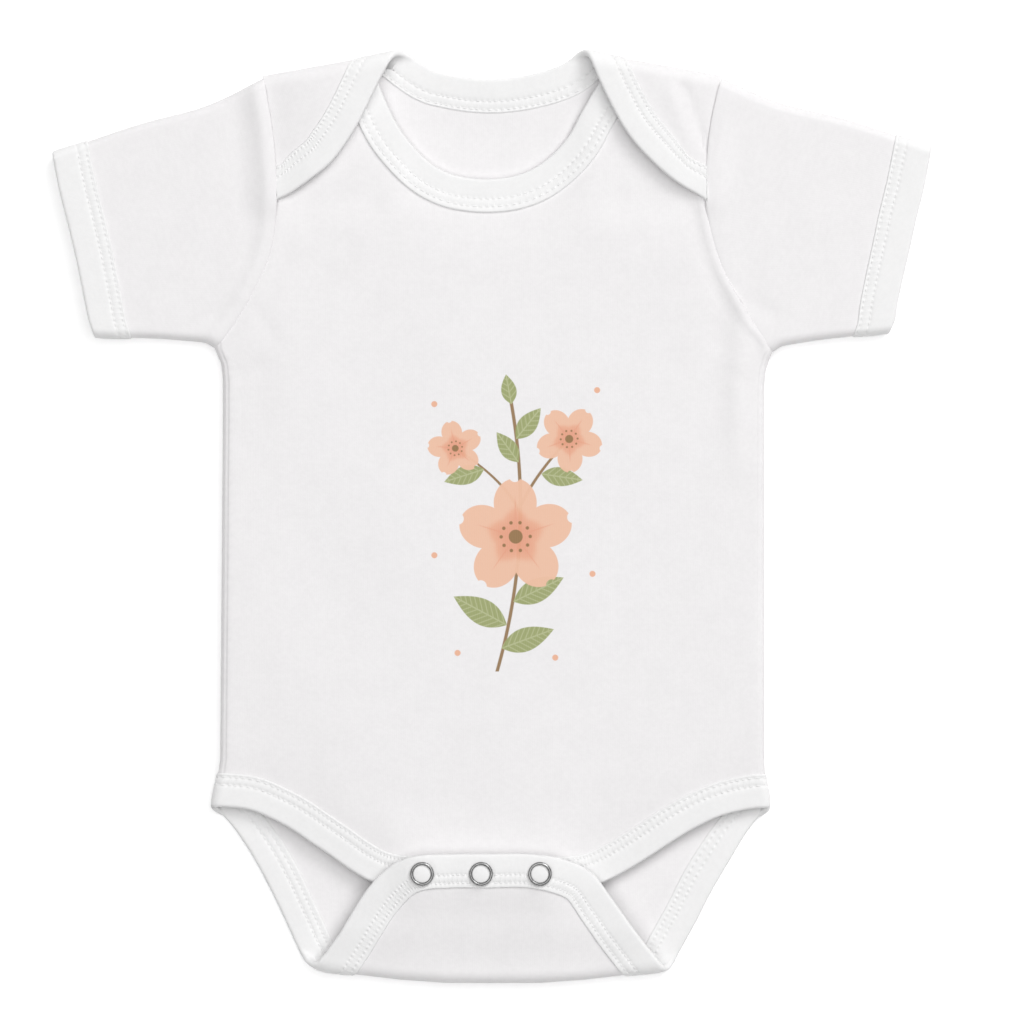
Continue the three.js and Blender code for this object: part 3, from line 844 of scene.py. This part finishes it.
def blossom(x, y, across, up, size, turn):
    """Masks of a five-petalled blossom: petals, their deeper throats, and the centre with its dots."""
    dx, dy = x - across, y - up
    r = span(dx, dy)
    angle = dy.math("ARCTAN2", dx) + turn
    fifth = 2 * math.pi / 5
    wedge = (angle.math("FLOORED_MODULO", fifth) - fifth / 2).math("ABSOLUTE")
    px, py = r * wedge.math("COSINE"), r * wedge.math("SINE")
    oval = size - span((px - 0.58 * size) * (1 / 0.42), py * (1 / 0.37))
    notch = span(px - 1.04 * size, py) - 0.10 * size
    petals = inked((oval * 0.4).least(notch).most(0.34 * size - r))
    throat = 1 - (r + py * 0.6).soft(0.18 * size, 0.62 * size)
    vein = inked(0.22 - py) * r.soft(0.2 * size, 0.3 * size) * (1 - r.soft(0.55 * size, 0.75 * size))
    centre = inked(0.12 * size - r)
    tenth = fifth / 2
    turned = (angle.math("FLOORED_MODULO", tenth) - tenth / 2).math("ABSOLUTE")
    dots = span(r * turned.math("COSINE") - 0.25 * size, r * turned.math("SINE"))
    return petals, throat, vein, centre.most(inked(0.030 * size - dots))


def leaf(x, y, across, up, length, width, heading):
    """Masks of a pointed leaf and of its ribs."""
    dx, dy = x - across, y - up
    u = dx * math.cos(heading) + dy * math.sin(heading) - length / 2
    v = (dy * math.cos(heading) - dx * math.sin(heading)).math("ABSOLUTE")
    share = u * (2 / length)
    half = (1 - share * share) * (1 - share * 0.25) * (width / 2)
    body = inked((half - v).least(length / 2 - u.math("ABSOLUTE")))
    side_ribs = ((u - v * 0.9) * (1 / 2.6)).math("FLOORED_MODULO", 1.0) - 0.5
    ribs = inked(0.28 - v).most(inked(0.16 - side_ribs.math("ABSOLUTE") * 1.6))
    return body, ribs


def printed(at, colour, knit):
    """The sprig, printed on the cloth."""
    x, y = at.part(0), at.part(1)
    cover = 0.92 + knit * 0.08
    for low, high, a, b, c in STEMS:
        bow = (x - (a + y * b + y * y * c)).math("ABSOLUTE")
        line = inked(STEM_HALF_WIDTH - bow) * inked(y - low) * inked(high - y)
        colour = mixed(line * cover, colour, BROWN)
    for named in LEAVES:
        body, ribs = leaf(x, y, *named)
        colour = mixed(body * cover, colour, mixed(ribs * 0.8, GREEN, PALE_GREEN))
    for named in BLOSSOMS:
        petals, throat, vein, centre = blossom(x, y, *named)
        petal = mixed(throat * 0.75, mixed(throat.soft(0, 0.4), PALE_CORAL, CORAL), DEEP_CORAL)
        petal = mixed(vein * 0.5, petal, DEEP_CORAL)
        colour = mixed(petals * cover, colour, petal)
        colour = mixed(centre * cover, colour, BROWN)
    for across, up in SPOTS:
        spot = inked(SPOT_RADIUS - span(x - across, y - up))
        colour = mixed(spot * cover, colour, CORAL)
    return colour


SIDE_SEAM = 116.0  # distance of the pressed side seam from the middle of the flat front
front_face = (JERSEY_LOOPS, 0.25, JERSEY_WHITE, JERSEY_SHADE, printed, SIDE_SEAM)
printed_jersey = cotton("printed jersey", *front_face)
print("nodes in the print's material:", len(printed_jersey.node_tree.nodes))

# %% [markdown]
# ## Cutting the panels
# A panel's outline is filled with points, close together along its edges and in its folds and wider
# apart elsewhere, and joined by Delaunay triangles. Long thin triangles would show in the shading.

# %% Fill an outline with triangles
EDGE_ROWS = (0.35, 0.8, 1.4, 2.3, 3.6)
FINE, COARSE = 1.25, 2.6


def grid(low, high, spacing):
    """A honeycomb of points over a box."""
    x = np.arange(low[0], high[0], spacing)
    y = np.arange(low[1], high[1], spacing * math.sqrt(3) / 2)
    gx, gy = np.meshgrid(x, y)
    gx[1::2] += spacing / 2
    return np.column_stack([gx.ravel(), gy.ravel()])


def in_bend(p, folds):
    found = np.zeros(len(p), bool)
    for fold in folds:
        reach = fold.reach(p)
        found |= fold.holds(p) & (reach > -3) & (reach < fold.radius * fold.turn + 3)
    return found


def inside(p, outline):
    """Whether points are inside an outline, by counting the edges to their right."""
    a, b = outline, np.roll(outline, -1, axis=0)
    found = []
    for some in np.array_split(p, len(p) // 3000 + 1):
        x, y = some[:, :1], some[:, 1:]
        spans = (a[:, 1] > y) != (b[:, 1] > y)
        with np.errstate(divide="ignore", invalid="ignore"):
            cross = a[:, 0] + (y - a[:, 1]) * (b[:, 0] - a[:, 0]) / (b[:, 1] - a[:, 1])
        found.append((spans & (x < cross)).sum(1) % 2 == 1)
    return np.concatenate(found)


def filled(outline, folds):
    """Points and triangles that fill a flat outline."""
    outline = evenly(np.vstack([outline, outline[:1]]), 1.5)[:-1]
    closed = np.vstack([outline, outline[:1]])
    low, high = outline.min(0), outline.max(0)
    fine, coarse = grid(low, high, FINE), grid(low, high, COARSE)
    inner = np.vstack([fine[in_bend(fine, folds)], coarse[~in_bend(coarse, folds)]])
    inner = inner[inside(inner, outline)]
    inner = inner[distance(inner, closed) > EDGE_ROWS[-1] + 0.8]
    rows = [inner]
    for d in EDGE_ROWS:
        row = outline + left_of(closed)[:-1] * d
        row = row[inside(row, outline)]
        rows.append(row[distance(row, closed) > 0.96 * d])
    points = np.vstack([outline, *rows])
    loop = list(range(len(outline)))
    verts, _, faces, *_ = delaunay_2d_cdt(points.tolist(), [], [loop], 1, 0.02)
    return np.array([v[:] for v in verts]), [list(f) for f in faces]


def flat_area(outline):
    x, y = outline.T
    return abs(np.dot(x, np.roll(y, -1)) - np.dot(y, np.roll(x, -1))) / 2


# %% [markdown]
# ### Outlines in the flat
# Laps and flap are unfolded to where they were before they turned. An armhole seam runs up the back,
# over the shoulder fold and down the lap, so its part on the lap is unfolded too.

# %% Flat outlines
INSET = 2.1  # the cloth ends this far inside a binding's outer edge


def opened(line):
    """Side points turned back into the flat drawing."""
    p = np.array(line, float)
    past = np.clip((np.abs(p[:, 0]) - SIDE_START) / SIDE_RADIUS, 0, 1)
    flat = SIDE_START + SIDE_RADIUS * np.arcsin(past)
    p[:, 0] = np.where(past > 0, np.sign(p[:, 0]) * flat, p[:, 0])
    return p


def seam_run(armhole, fold):
    """The part of an armhole seam that is short of the shoulder fold."""
    reach = (armhole - fold.start) @ fold.out
    return opened(armhole[reach < -0.5])


neck_back_edge = smooth([
    *shoulder_right.unfolded(LAP_RIGHT), *NECK_BACK, *shoulder_left.unfolded(LAP_LEFT[::-1]),
], 0.6)
flap_points = [*FLAP_SIDE_LEFT, *FLAP_TOP, *FLAP_SIDE_RIGHT]
leg_back_edge = smooth([*LEG_BACK_LEFT, *crotch.unfolded(flap_points), *LEG_BACK_RIGHT], 0.6)


def inset(line):
    return (line + left_of(line) * INSET)[::3]


def on_lap(armhole, fold, low):
    """The same seam on the lap, down to the lap's lower corner."""
    short = seam_run(armhole, fold)
    return fold.unfolded(short[short[:, 1] > low])


LAP_CORNER = 138  # height of the laps' lower corners
LEG_CORNER = -123.0  # height of the back's corners, where its sides meet its leg edges
back_outline = np.vstack([
    (-SIDE_END, LEG_CORNER),
    inset(leg_back_edge),
    (SIDE_END, LEG_CORNER),
    seam_run(ARMHOLE_RIGHT, shoulder_right)[::-1],
    on_lap(ARMHOLE_RIGHT, shoulder_right, LAP_CORNER),
    inset(neck_back_edge),
    on_lap(ARMHOLE_LEFT, shoulder_left, LAP_CORNER)[::-1],
    seam_run(ARMHOLE_LEFT, shoulder_left),
])
front_outline = np.vstack([
    inset(LEG_FRONT),
    seam_run(ARMHOLE_RIGHT, shoulder_right)[::-1],
    inset(NECK_FRONT),
    seam_run(ARMHOLE_LEFT, shoulder_left),
])
print("flat area of the back in square metres:", round(flat_area(back_outline) / 1e6, 4))
print("flat area of the front in square metres:", round(flat_area(front_outline) / 1e6, 4))

# %% [markdown]
# ### Cloth of the two panels
# Each panel is one piece of jersey with two faces and a cut edge. The front's outer face is the one
# that is printed. A thin solid could be had from a sheet and a Solidify modifier. Moving the points
# along the surface's own normals gives the same, and keeps both faces on the flat pattern.

# %% Back and front panels
back_flat, back_faces = filled(back_outline, [shoulder_left, shoulder_right, crotch, *sides])
back = add_mesh("back_cloth", *shell(back_surface, back_flat, back_faces), [jersey], sharp=50)
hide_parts("back_panel")

front_flat, front_faces = filled(front_outline, sides)
front_shell = shell(front_surface, front_flat, front_faces)
is_printed = np.arange(len(front_shell[1])) < len(front_faces)
front_cloths = [jersey, printed_jersey]
front = add_mesh("front_cloth", *front_shell, front_cloths, is_printed.astype(int), sharp=50)
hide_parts("front_panel")

# %% [markdown]
# ## Sleeves
# A sleeve's flat drawing is a strip rolled into a tube, so its mesh is a plain grid. The rows are
# close together near the armhole, where the seam tucks the cloth in and a soft ridge stands beside it.

# %% Sleeve cloth
SEAM_ROWS = (0, 0.3, 0.7, 1.2, 1.9, 2.8, 3.9, 5.2, 6.8)  # distances in from the armhole seam
SEAM_ZONE = 9  # where the even rows start
EVEN_ROWS = 38


def sleeve_grid(sleeve):
    """Points round and along a sleeve, and the faces between them."""
    around = np.concatenate([
        np.arange(0, sleeve.flat, 2.4),
        sleeve.flat + np.arange(0, sleeve.bend, 0.9),
        sleeve.flat + sleeve.bend + np.arange(0, sleeve.flat, 2.4),
        2 * sleeve.flat + sleeve.bend + np.arange(0, sleeve.bend, 0.9),
    ])
    length = sleeve.length_at(around)
    start = length - SEAM_ZONE
    rows = [length - d for d in SEAM_ROWS]
    rows += [start + (INSET - start) * share for share in np.linspace(0, 1, EVEN_ROWS)]
    flat = np.stack([np.column_stack([around, row]) for row in rows])
    return flat.reshape(-1, 2), joined(len(rows), len(around))


def make_sleeve(name, sleeve):
    flat, faces = sleeve_grid(sleeve)
    piece = add_mesh(name + "_cloth", *shell(sleeve.lay, flat, faces), [jersey], sharp=50)
    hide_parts(name)
    return piece


sleeve_pieces = {
    "left": make_sleeve("sleeve_left", sleeve_left),
    "right": make_sleeve("sleeve_right", sleeve_right),
}

# %% [markdown]
# ## Bindings
# A binding is a strip of rib folded round the raw edge and sewn through with two rows of stitches.
# Its section is a soft U: a rolled nose at the outer edge, a slightly hollow channel at each row of
# stitches, and a folded lip at the inner end. The section is carried along the edge, and between two
# stitches it puffs up a little, which is what makes a sewn edge look sewn.

# %% Section of a binding
PITCH = 2.3  # spacing of the stitches
STITCH = 1.65  # length of one
MARGIN = 1.0  # from the end of an edge to its first stitch
HOLE = MARGIN + (STITCH - PITCH) / 2  # where the needle goes in, between two stitches
BOUND = 1.45  # half the thickness of a bound edge
CLEAR = 0.55  # half the gap inside the binding
LIP_ROUND = 0.7  # rounding of the inner fold
HOLLOW = 0.15  # between the nose and the first row
CHANNEL = 0.12  # depth of a row of stitches
PUNCH = 0.26  # how much deeper it is at each hole


class Strip:
    """A folded strip of rib: its width, its rows of stitches and how proud its inner lip stands."""

    def __init__(self, width, rows, lip):
        self.width = width
        self.rows = rows
        self.lip = lip


def half_section(strip):
    """Distances in from the nose, dense where the section curves."""
    quarter = np.linspace(0, math.pi / 2, 7)
    nose = BOUND * (1 - np.cos(quarter))
    steps = np.arange(BOUND + 0.9, strip.width - 0.9, 1.1)
    channels = [row + d for row in strip.rows for d in (-0.9, -0.45, 0, 0.45, 0.9)]
    lip = strip.width - LIP_ROUND * (1 - np.cos(np.linspace(0, math.pi / 2, 5)))
    a = np.unique(np.concatenate([nose, steps, channels, lip]).round(3))
    return a[(np.diff(a, append=99) > 0.08)]


def half_height(a, s, strip):
    """Height of the binding's face over the middle of the cloth."""
    nose = np.sqrt(1 - np.clip(1 - a / BOUND, 0, 1) ** 2)
    end = np.sqrt(1 - np.clip((a - strip.width + LIP_ROUND) / LIP_ROUND, 0, 1) ** 2)
    hole = (0.5 + 0.5 * np.cos(2 * math.pi * (s - HOLE) / PITCH)) ** 2
    first = strip.rows[0]
    level = BOUND - (BOUND - strip.lip) * ease((a - first + 2) / (strip.width - first))
    level = level - HOLLOW * ease((a - 2.5) / (first - 2.5)) * (1 - ease((a - first) / 1.5))
    for row in strip.rows:
        level = level - (CHANNEL + PUNCH * hole) * bell(a - row, 0.75)
    return np.maximum(level, CLEAR + 0.08) * nose * end + CLEAR * (1 - end)


class Edge:
    """An edge in the flat drawing, with the cloth on its left. `lean` cuts its ends along a seam."""

    def __init__(self, line, lean=(None, None), closed=False):
        self.line = line
        steps = np.linalg.norm(np.diff(line, axis=0), axis=1)
        self.s = np.concatenate([[0], np.cumsum(steps)])
        self.length = self.s[-1]
        self.closed = closed
        self.left = left_of(line)
        ahead = np.column_stack([self.left[:, 1], -self.left[:, 0]])
        slant = np.zeros(len(line))
        for cut, i, gone in ((lean[0], 0, self.s), (lean[1], -1, self.length - self.s)):
            if cut is not None:
                tilt = np.dot(cut, ahead[i]) / np.dot(cut, self.left[i])
                slant += tilt * np.clip(1 - gone / 40, 0, 1)
        across = self.left + ahead * slant[:, None]
        self.across = across / np.linalg.norm(across, axis=1)[:, None]

    def at(self, s, a):
        """The flat place that is `a` in from the edge, at `s` along it."""
        s = np.mod(s, self.length) if self.closed else s
        on_edge = np.column_stack([np.interp(s, self.s, self.line[:, k]) for k in (0, 1)])
        across = np.column_stack([np.interp(s, self.s, self.across[:, k]) for k in (0, 1)])
        return on_edge + a[:, None] * across


def bind(name, node, lay, edge, strip, shape=None):
    """A binding round an edge: its upper face, its lower face and the slot that holds the cloth."""
    a = half_section(strip)
    count = round(edge.length / PITCH) * 5
    s = np.linspace(0, edge.length, count + 1)
    if edge.closed:
        s = s[:-1]
    slot = np.array([strip.width, BOUND + 0.6])
    places = np.concatenate([a[::-1], a[1:], slot, slot[::-1]])
    outer = len(a) * 2 - 1
    gs, ga = np.meshgrid(s, places, indexing="ij")
    height = half_height(ga, gs, strip)
    height[:, len(a) - 1] = 0
    height[:, len(a) :] *= -1
    height[:, outer:] = [-CLEAR + 0.02, -CLEAR, CLEAR, CLEAR]
    flat = edge.at(gs.ravel(), ga.ravel())
    points = raised(lay, flat, height.ravel())
    if shape:
        points = shape(points)
    faces = joined(len(s), len(places), loop=edge.closed, capped=not edge.closed)
    girth = np.concatenate([[0], np.cumsum(np.abs(np.diff(places)) + 0.01)])
    pattern = np.column_stack([gs.ravel(), np.tile(girth, len(s))])
    piece = add_mesh(name, points, faces, pattern, [rib])
    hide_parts(node)
    return piece


# %% [markdown]
# ### Stitches
# The thread of a coverstitch lies on the cloth in short straight lengths and dips into it at both
# ends. Finer threads cross from one row to the other like the rungs of a ladder. Each length is a
# thin closed tube, and all the stitches of one edge make one piece. A curve with a bevel would also
# do, but plain meshes keep thousands of stitches light.

# %% Stitches
SIDES = 6
STATIONS = np.array([0.0, 0.16, 0.5, 0.84, 1.0])  # shares of a stitch's length
NEEDLE_THREAD = np.array([0.08, 0.17, 0.19, 0.17, 0.08])  # radii at the stations
COVER_THREAD = np.array([0.05, 0.09, 0.10, 0.09, 0.05])
LIFT = np.array([-0.12, 0.02, 0.07, 0.02, -0.12])  # of the needle thread over the cloth
RUNG_START, RUNG_LEAN = 0.1, 0.3  # of a cover thread, as shares of the pitch


def tubes(lay, paths, heights, radii):
    """Closed tubes along flat paths. `paths` has one row of places for each tube."""
    count, stations = paths.shape[:2]
    places = paths.reshape(-1, 2)
    centre = raised(lay, places, heights.ravel())
    up = normals(lay, places) * np.sign(heights.ravel())[:, None]
    run = np.gradient(centre.reshape(count, stations, 3), axis=1).reshape(-1, 3)
    side = np.cross(run, up)
    side /= np.linalg.norm(side, axis=1)[:, None]
    turn = np.arange(SIDES) * 2 * math.pi / SIDES
    thick = np.tile(radii, count)[:, None, None]
    ring = side[:, None] * np.cos(turn)[:, None] + up[:, None] * np.sin(turn)[:, None]
    points = (centre[:, None] + ring * thick).reshape(-1, 3)
    faces = []
    for t in range(count):
        faces += joined(stations, SIDES, t * stations * SIDES, capped=True)
    along = np.repeat(np.tile(np.linspace(0, STITCH, stations), count), SIDES)
    around = np.tile(turn * 0.2, count * stations)
    return points, faces, np.column_stack([along, around])


def sew(name, lay, edge, strip, keep=None):
    """Two rows of stitches on both faces, and cover threads like a ladder between them."""
    first, last = strip.rows
    starts = np.arange(MARGIN, edge.length - MARGIN - STITCH, PITCH)
    runs = []
    for face in (1, -1):
        for row in strip.rows:
            s = starts[:, None] + STITCH * STATIONS
            a = np.full_like(s, row)
            runs.append((s, a, half_height(a, s, strip) + LIFT, face, NEEDLE_THREAD))
        s = starts[:, None] + PITCH * (RUNG_START + RUNG_LEAN * STATIONS)
        a = first + 0.3 + (last - first - 0.6) * np.tile(STATIONS, (len(starts), 1))
        runs.append((s, a, half_height(a, s, strip) - 0.01, face, COVER_THREAD))
    points, all_faces, patterns, offset = [], [], [], 0
    for s, a, height, face, radii in runs:
        flat = edge.at(s.ravel(), a.ravel()).reshape(*s.shape, 2)
        if keep:
            middle = flat[:, len(STATIONS) // 2]
            flat, height = flat[keep(middle)], height[keep(middle)]
        tube_points, tube_faces, pattern = tubes(lay, flat, height * face, radii)
        points.append(tube_points)
        all_faces += [[i + offset for i in f] for f in tube_faces]
        patterns.append(pattern)
        offset += len(tube_points)
    piece = add_mesh(name, np.vstack(points), all_faces, np.vstack(patterns), [thread])
    return piece


# %% [markdown]
# ### Neck
# The front neck has a binding of its own. The back's runs from one armhole seam up a lap's edge,
# over the shoulder, along the back neck and down the other lap, as one strip. Where it meets an
# armhole seam it is cut along that seam, so its ends lean.

# %% Neck bindings
NECK_FRONT_STRIP = Strip(14.8, (8.8, 12.3), 1.45)
NECK_BACK_STRIP = Strip(14.8, (9.8, 13.4), 1.05)


def cut_on_lap(side):
    """The direction of the armhole seam on a lap, in the flat drawing."""
    up = np.array([0.0, 1.0])
    out = shoulder_fold(side).out
    return up - 2 * np.dot(up, out) * out


neck_front = Edge(NECK_FRONT)
neck_back = Edge(neck_back_edge, lean=(cut_on_lap(1), cut_on_lap(-1)))
on_front = (front_surface, neck_front, NECK_FRONT_STRIP)
on_back = (back_surface, neck_back, NECK_BACK_STRIP)
neck_front_rib = bind("neck_rib_front", "neck_binding_front", *on_front)
neck_back_rib = bind("neck_rib_back", "neck_binding_back", *on_back)
neck_front_thread = sew("neck_stitches_front", *on_front)
neck_back_thread = sew("neck_stitches_back", *on_back)

# %% [markdown]
# ### Legs
# The front's leg binding goes from side to side along both leg edges and the crotch edge. The
# back's goes along its leg edges and round the flap, where each snap presses a dent into it. No
# stitch is sewn under a ring.

# %% Leg bindings
LEG_FRONT_STRIP = Strip(14.6, (9.6, 13.0), 1.1)
LEG_BACK_STRIP = Strip(14.6, (9.0, 12.4), 1.1)
leg_front = Edge(LEG_FRONT)
leg_back = Edge(leg_back_edge, lean=((0, 1), (0, 1)))
DENT = 0.4  # depth of the dent under a snap
DENT_RADIUS = 4.6  # of its flat middle
DENT_SLOPE = 2.2  # width of its sloping side
FLAP_TOP_LEVEL = 14.5  # what is above this is the flap's upper face
STITCH_FREE = 6.2  # radius round a snap without stitches


def from_snap(q, snap):
    return np.hypot(q[:, 0] - snap[0], q[:, 1] - snap[1])


def pressed(points):
    """The flap's binding with a dent under each snap."""
    points = points.copy()
    upper = points[:, 2] > FLAP_TOP_LEVEL
    for snap in SNAPS:
        points[:, 2] -= DENT * (1 - ease((from_snap(points, snap) - DENT_RADIUS) / DENT_SLOPE)) * upper
    return points


def clear_of_snaps(p):
    """Whether flat points of the back end up away from the snaps."""
    q = back_surface(p)
    return np.min([from_snap(q, snap) for snap in SNAPS], axis=0) > STITCH_FREE


on_front = (front_surface, leg_front, LEG_FRONT_STRIP)
on_back = (back_surface, leg_back, LEG_BACK_STRIP)
leg_front_rib = bind("leg_rib_front", "leg_binding_front", *on_front)
leg_back_rib = bind("leg_rib_back", "leg_binding_back", *on_back, pressed)
leg_front_thread = sew("leg_stitches_front", *on_front)
leg_back_thread = sew("leg_stitches_back", *on_back, clear_of_snaps)

# %% [markdown]
# ### Sleeve hems
# A sleeve ends in a wider band of the same rib, folded round the raw edge and sewn with two rows. It
# is a binding on a closed edge, so the same two functions make it.

# %% Sleeve hems
HEM_STRIP = Strip(16.4, (11.3, 15.0), 1.1)


def make_hem(side, sleeve):
    """A rib band round the sleeve's open end."""
    x = np.linspace(0, sleeve.girth, round(sleeve.girth / 0.6) + 1)
    edge = Edge(np.column_stack([x, np.zeros(len(x))]), closed=True)
    band = bind("hem_rib_" + side, "sleeve_hem_" + side, sleeve.lay, edge, HEM_STRIP)
    stitches = sew("hem_stitches_" + side, sleeve.lay, edge, HEM_STRIP)
    return [band, stitches]


hems = {"left": make_hem("left", sleeve_left), "right": make_hem("right", sleeve_right)}

# %% [markdown]
# ## Ring snaps
# Each snap shows a nickel ring pressed onto the flap, with a button of cloth that swells in its
# middle. The ring could be a torus, but the real one is a rounded band with a flat foot, so its
# profile is turned like a lathe part. The cloth button is a low dome that meets the ring inside.

# %% Metal
NICKEL = (0.34, 0.34, 0.34, 1)
WORN_NICKEL = (0.22, 0.22, 0.22, 1)
OBJECT_PLACE = 3  # the output of a Texture Coordinate node that gives places on the object

metal, metal_shader, start = new_material("nickel plate", {"Metallic": 1.0})
place = start.node("TexCoord", {}, {}, OBJECT_PLACE)
grain = noise(place, 900.0, 3.0)
dull = noise(place, 260.0, 2.0)
feed(metal_shader, "Roughness", 0.16 + dull * 0.16)
feed(metal_shader, "Base Color", mixed(dull.soft(0.35, 0.7), NICKEL, WORN_NICKEL))
metal_bump = start.node("Bump", {}, {"Strength": 0.15, "Distance": MM * 0.1, "Height": grain})
feed(metal_shader, "Normal", metal_bump)
snap_nodes = [node for name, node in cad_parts.items() if name.startswith("snap_")]
for node in snap_nodes:
    node.data.materials.clear()
    node.data.materials.append(metal)
print("snap nodes plated:", len(snap_nodes))

# %% Rings and cloth buttons
RING_OUTER = 5.1
RING_INNER = 3.75
RING_FOOT = 15.95
RING_TALL = 1.35


def turned(profile, centre, sides=72):
    """A lathe part, from a profile of radii and heights."""
    turn = np.arange(sides) * 2 * math.pi / sides
    r, z = np.array(profile).T
    x = centre[0] + r[:, None] * np.cos(turn)
    y = centre[1] + r[:, None] * np.sin(turn)
    points = np.stack([x, y, np.repeat(z[:, None], sides, 1)], -1).reshape(-1, 3)
    pattern = np.stack([r[:, None] * np.cos(turn), r[:, None] * np.sin(turn)], -1).reshape(-1, 2)
    return points, joined(len(profile), sides), pattern


def ring_profile():
    """A band with a rounded crown, from its inner foot over the top and back."""
    middle, half = (RING_OUTER + RING_INNER) / 2, (RING_OUTER - RING_INNER) / 2
    bow = np.linspace(math.pi, 0, 13)
    heights = RING_FOOT + RING_TALL * (0.35 + 0.65 * np.sin(bow))
    crown = zip(middle + half * np.cos(bow), heights)
    profile = [(RING_INNER, RING_FOOT), *crown, (RING_OUTER, RING_FOOT)]
    return [*profile, profile[0]]


def button_profile():
    """A low dome of cloth inside the ring, with a flat foot under it."""
    r = np.linspace(RING_INNER - 0.02, 0.02, 10)
    dome = zip(r, RING_FOOT + 0.25 + 0.55 * np.sqrt(1 - (r / RING_INNER) ** 2))
    foot = RING_FOOT - 0.3
    return [(0.02, foot), (RING_INNER - 0.02, foot), *dome]


for side, centre in zip(("left", "middle", "right"), SNAPS):
    ring = add_mesh("snap_ring_" + side, *turned(ring_profile(), centre), [metal], sharp=40)
    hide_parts(f"snap_{side}_ring")
    button = add_mesh("snap_cloth_" + side, *turned(button_profile(), centre), [rib], sharp=60)

# %% [markdown]
# ## Floor
# The garment lies on a white sweep, as in a product picture. A little glow in its material stands
# for the light that a bright room throws back, and keeps it white up to the cloth's own shadow.

# %% Floor
FLOOR_HALF = 6.0  # half its width, in metres
FLOOR_GAP = 0.02  # how far it is below the cloth
FLOOR_WHITE = (0.98, 0.98, 0.98, 1)
FLOOR_SHADE = (0.96, 0.96, 0.96, 1)

floor_mesh = bpy.data.meshes.new("floor")
floor_corners = [(x * FLOOR_HALF, y * FLOOR_HALF, 0) for x, y in ((-1, -1), (1, -1), (1, 1), (-1, 1))]
floor_mesh.from_pydata(floor_corners, [], [[0, 1, 2, 3]])
floor = bpy.data.objects.new("floor", floor_mesh)
bpy.context.scene.collection.objects.link(floor)
floor.location.z = -FLOOR_GAP * MM
floor_constants = {
    "Roughness": 0.9,
    "Specular IOR Level": 0.1,
    "Emission Color": (1, 1, 1, 1),
    "Emission Strength": 0.19,
}
floor_material, floor_shader, start = new_material("white sweep", floor_constants)
paper = noise(start.node("TexCoord", {}, {}, OBJECT_PLACE), 3.0, 2.0)
feed(floor_shader, "Base Color", mixed(paper, FLOOR_WHITE, FLOOR_SHADE))
floor_mesh.materials.append(floor_material)
print("floor is", 2 * FLOOR_HALF, "m wide")

# %% [markdown]
# Each sleeve's armhole end is worked out here from its flat outline above: a sleeve's is its tube,
# cut open along the underarm.


for key, sleeve in (("left", sleeve_left), ("right", sleeve_right)):
    x = np.linspace(0, sleeve.girth, 60)
    top = np.column_stack([x, sleeve.length_at(x)])[::-1]

# %% [markdown]
# ## Light
# A very big soft light overhead makes a nearly shadowless picture. A smaller one, low at the upper
# right, gives the rolled edges their bright and dark sides and puts soft shadows below the laps.


# %% Lights
def soft_light(name, size, power, position):
    """A round softbox aimed at the middle of the garment."""
    data = bpy.data.lights.new(name, "AREA")
    data.shape = "DISK"
    data.size = size
    data.energy = power
    light = bpy.data.objects.new(name, data)
    bpy.context.scene.collection.objects.link(light)
    light.location = position
    light.rotation_euler = (-Vector(position)).to_track_quat("-Z", "Y").to_euler()
    print(name, "light,", size, "m across, at", position)


soft_light("overhead", 8.0, 264.0, (0.1, 0.2, 4.5))
soft_light("upper_right", 2.8, 172.0, (2.75, 4.00, 3.55))
world = bpy.data.worlds.new("soft room")
bpy.context.scene.world = world
world.use_nodes = True
room_light = world.node_tree.nodes["Background"].inputs
room_light["Color"].default_value = (1, 1, 1, 1)
room_light["Strength"].default_value = 0.12
bpy.context.scene.view_settings.view_transform = "Standard"
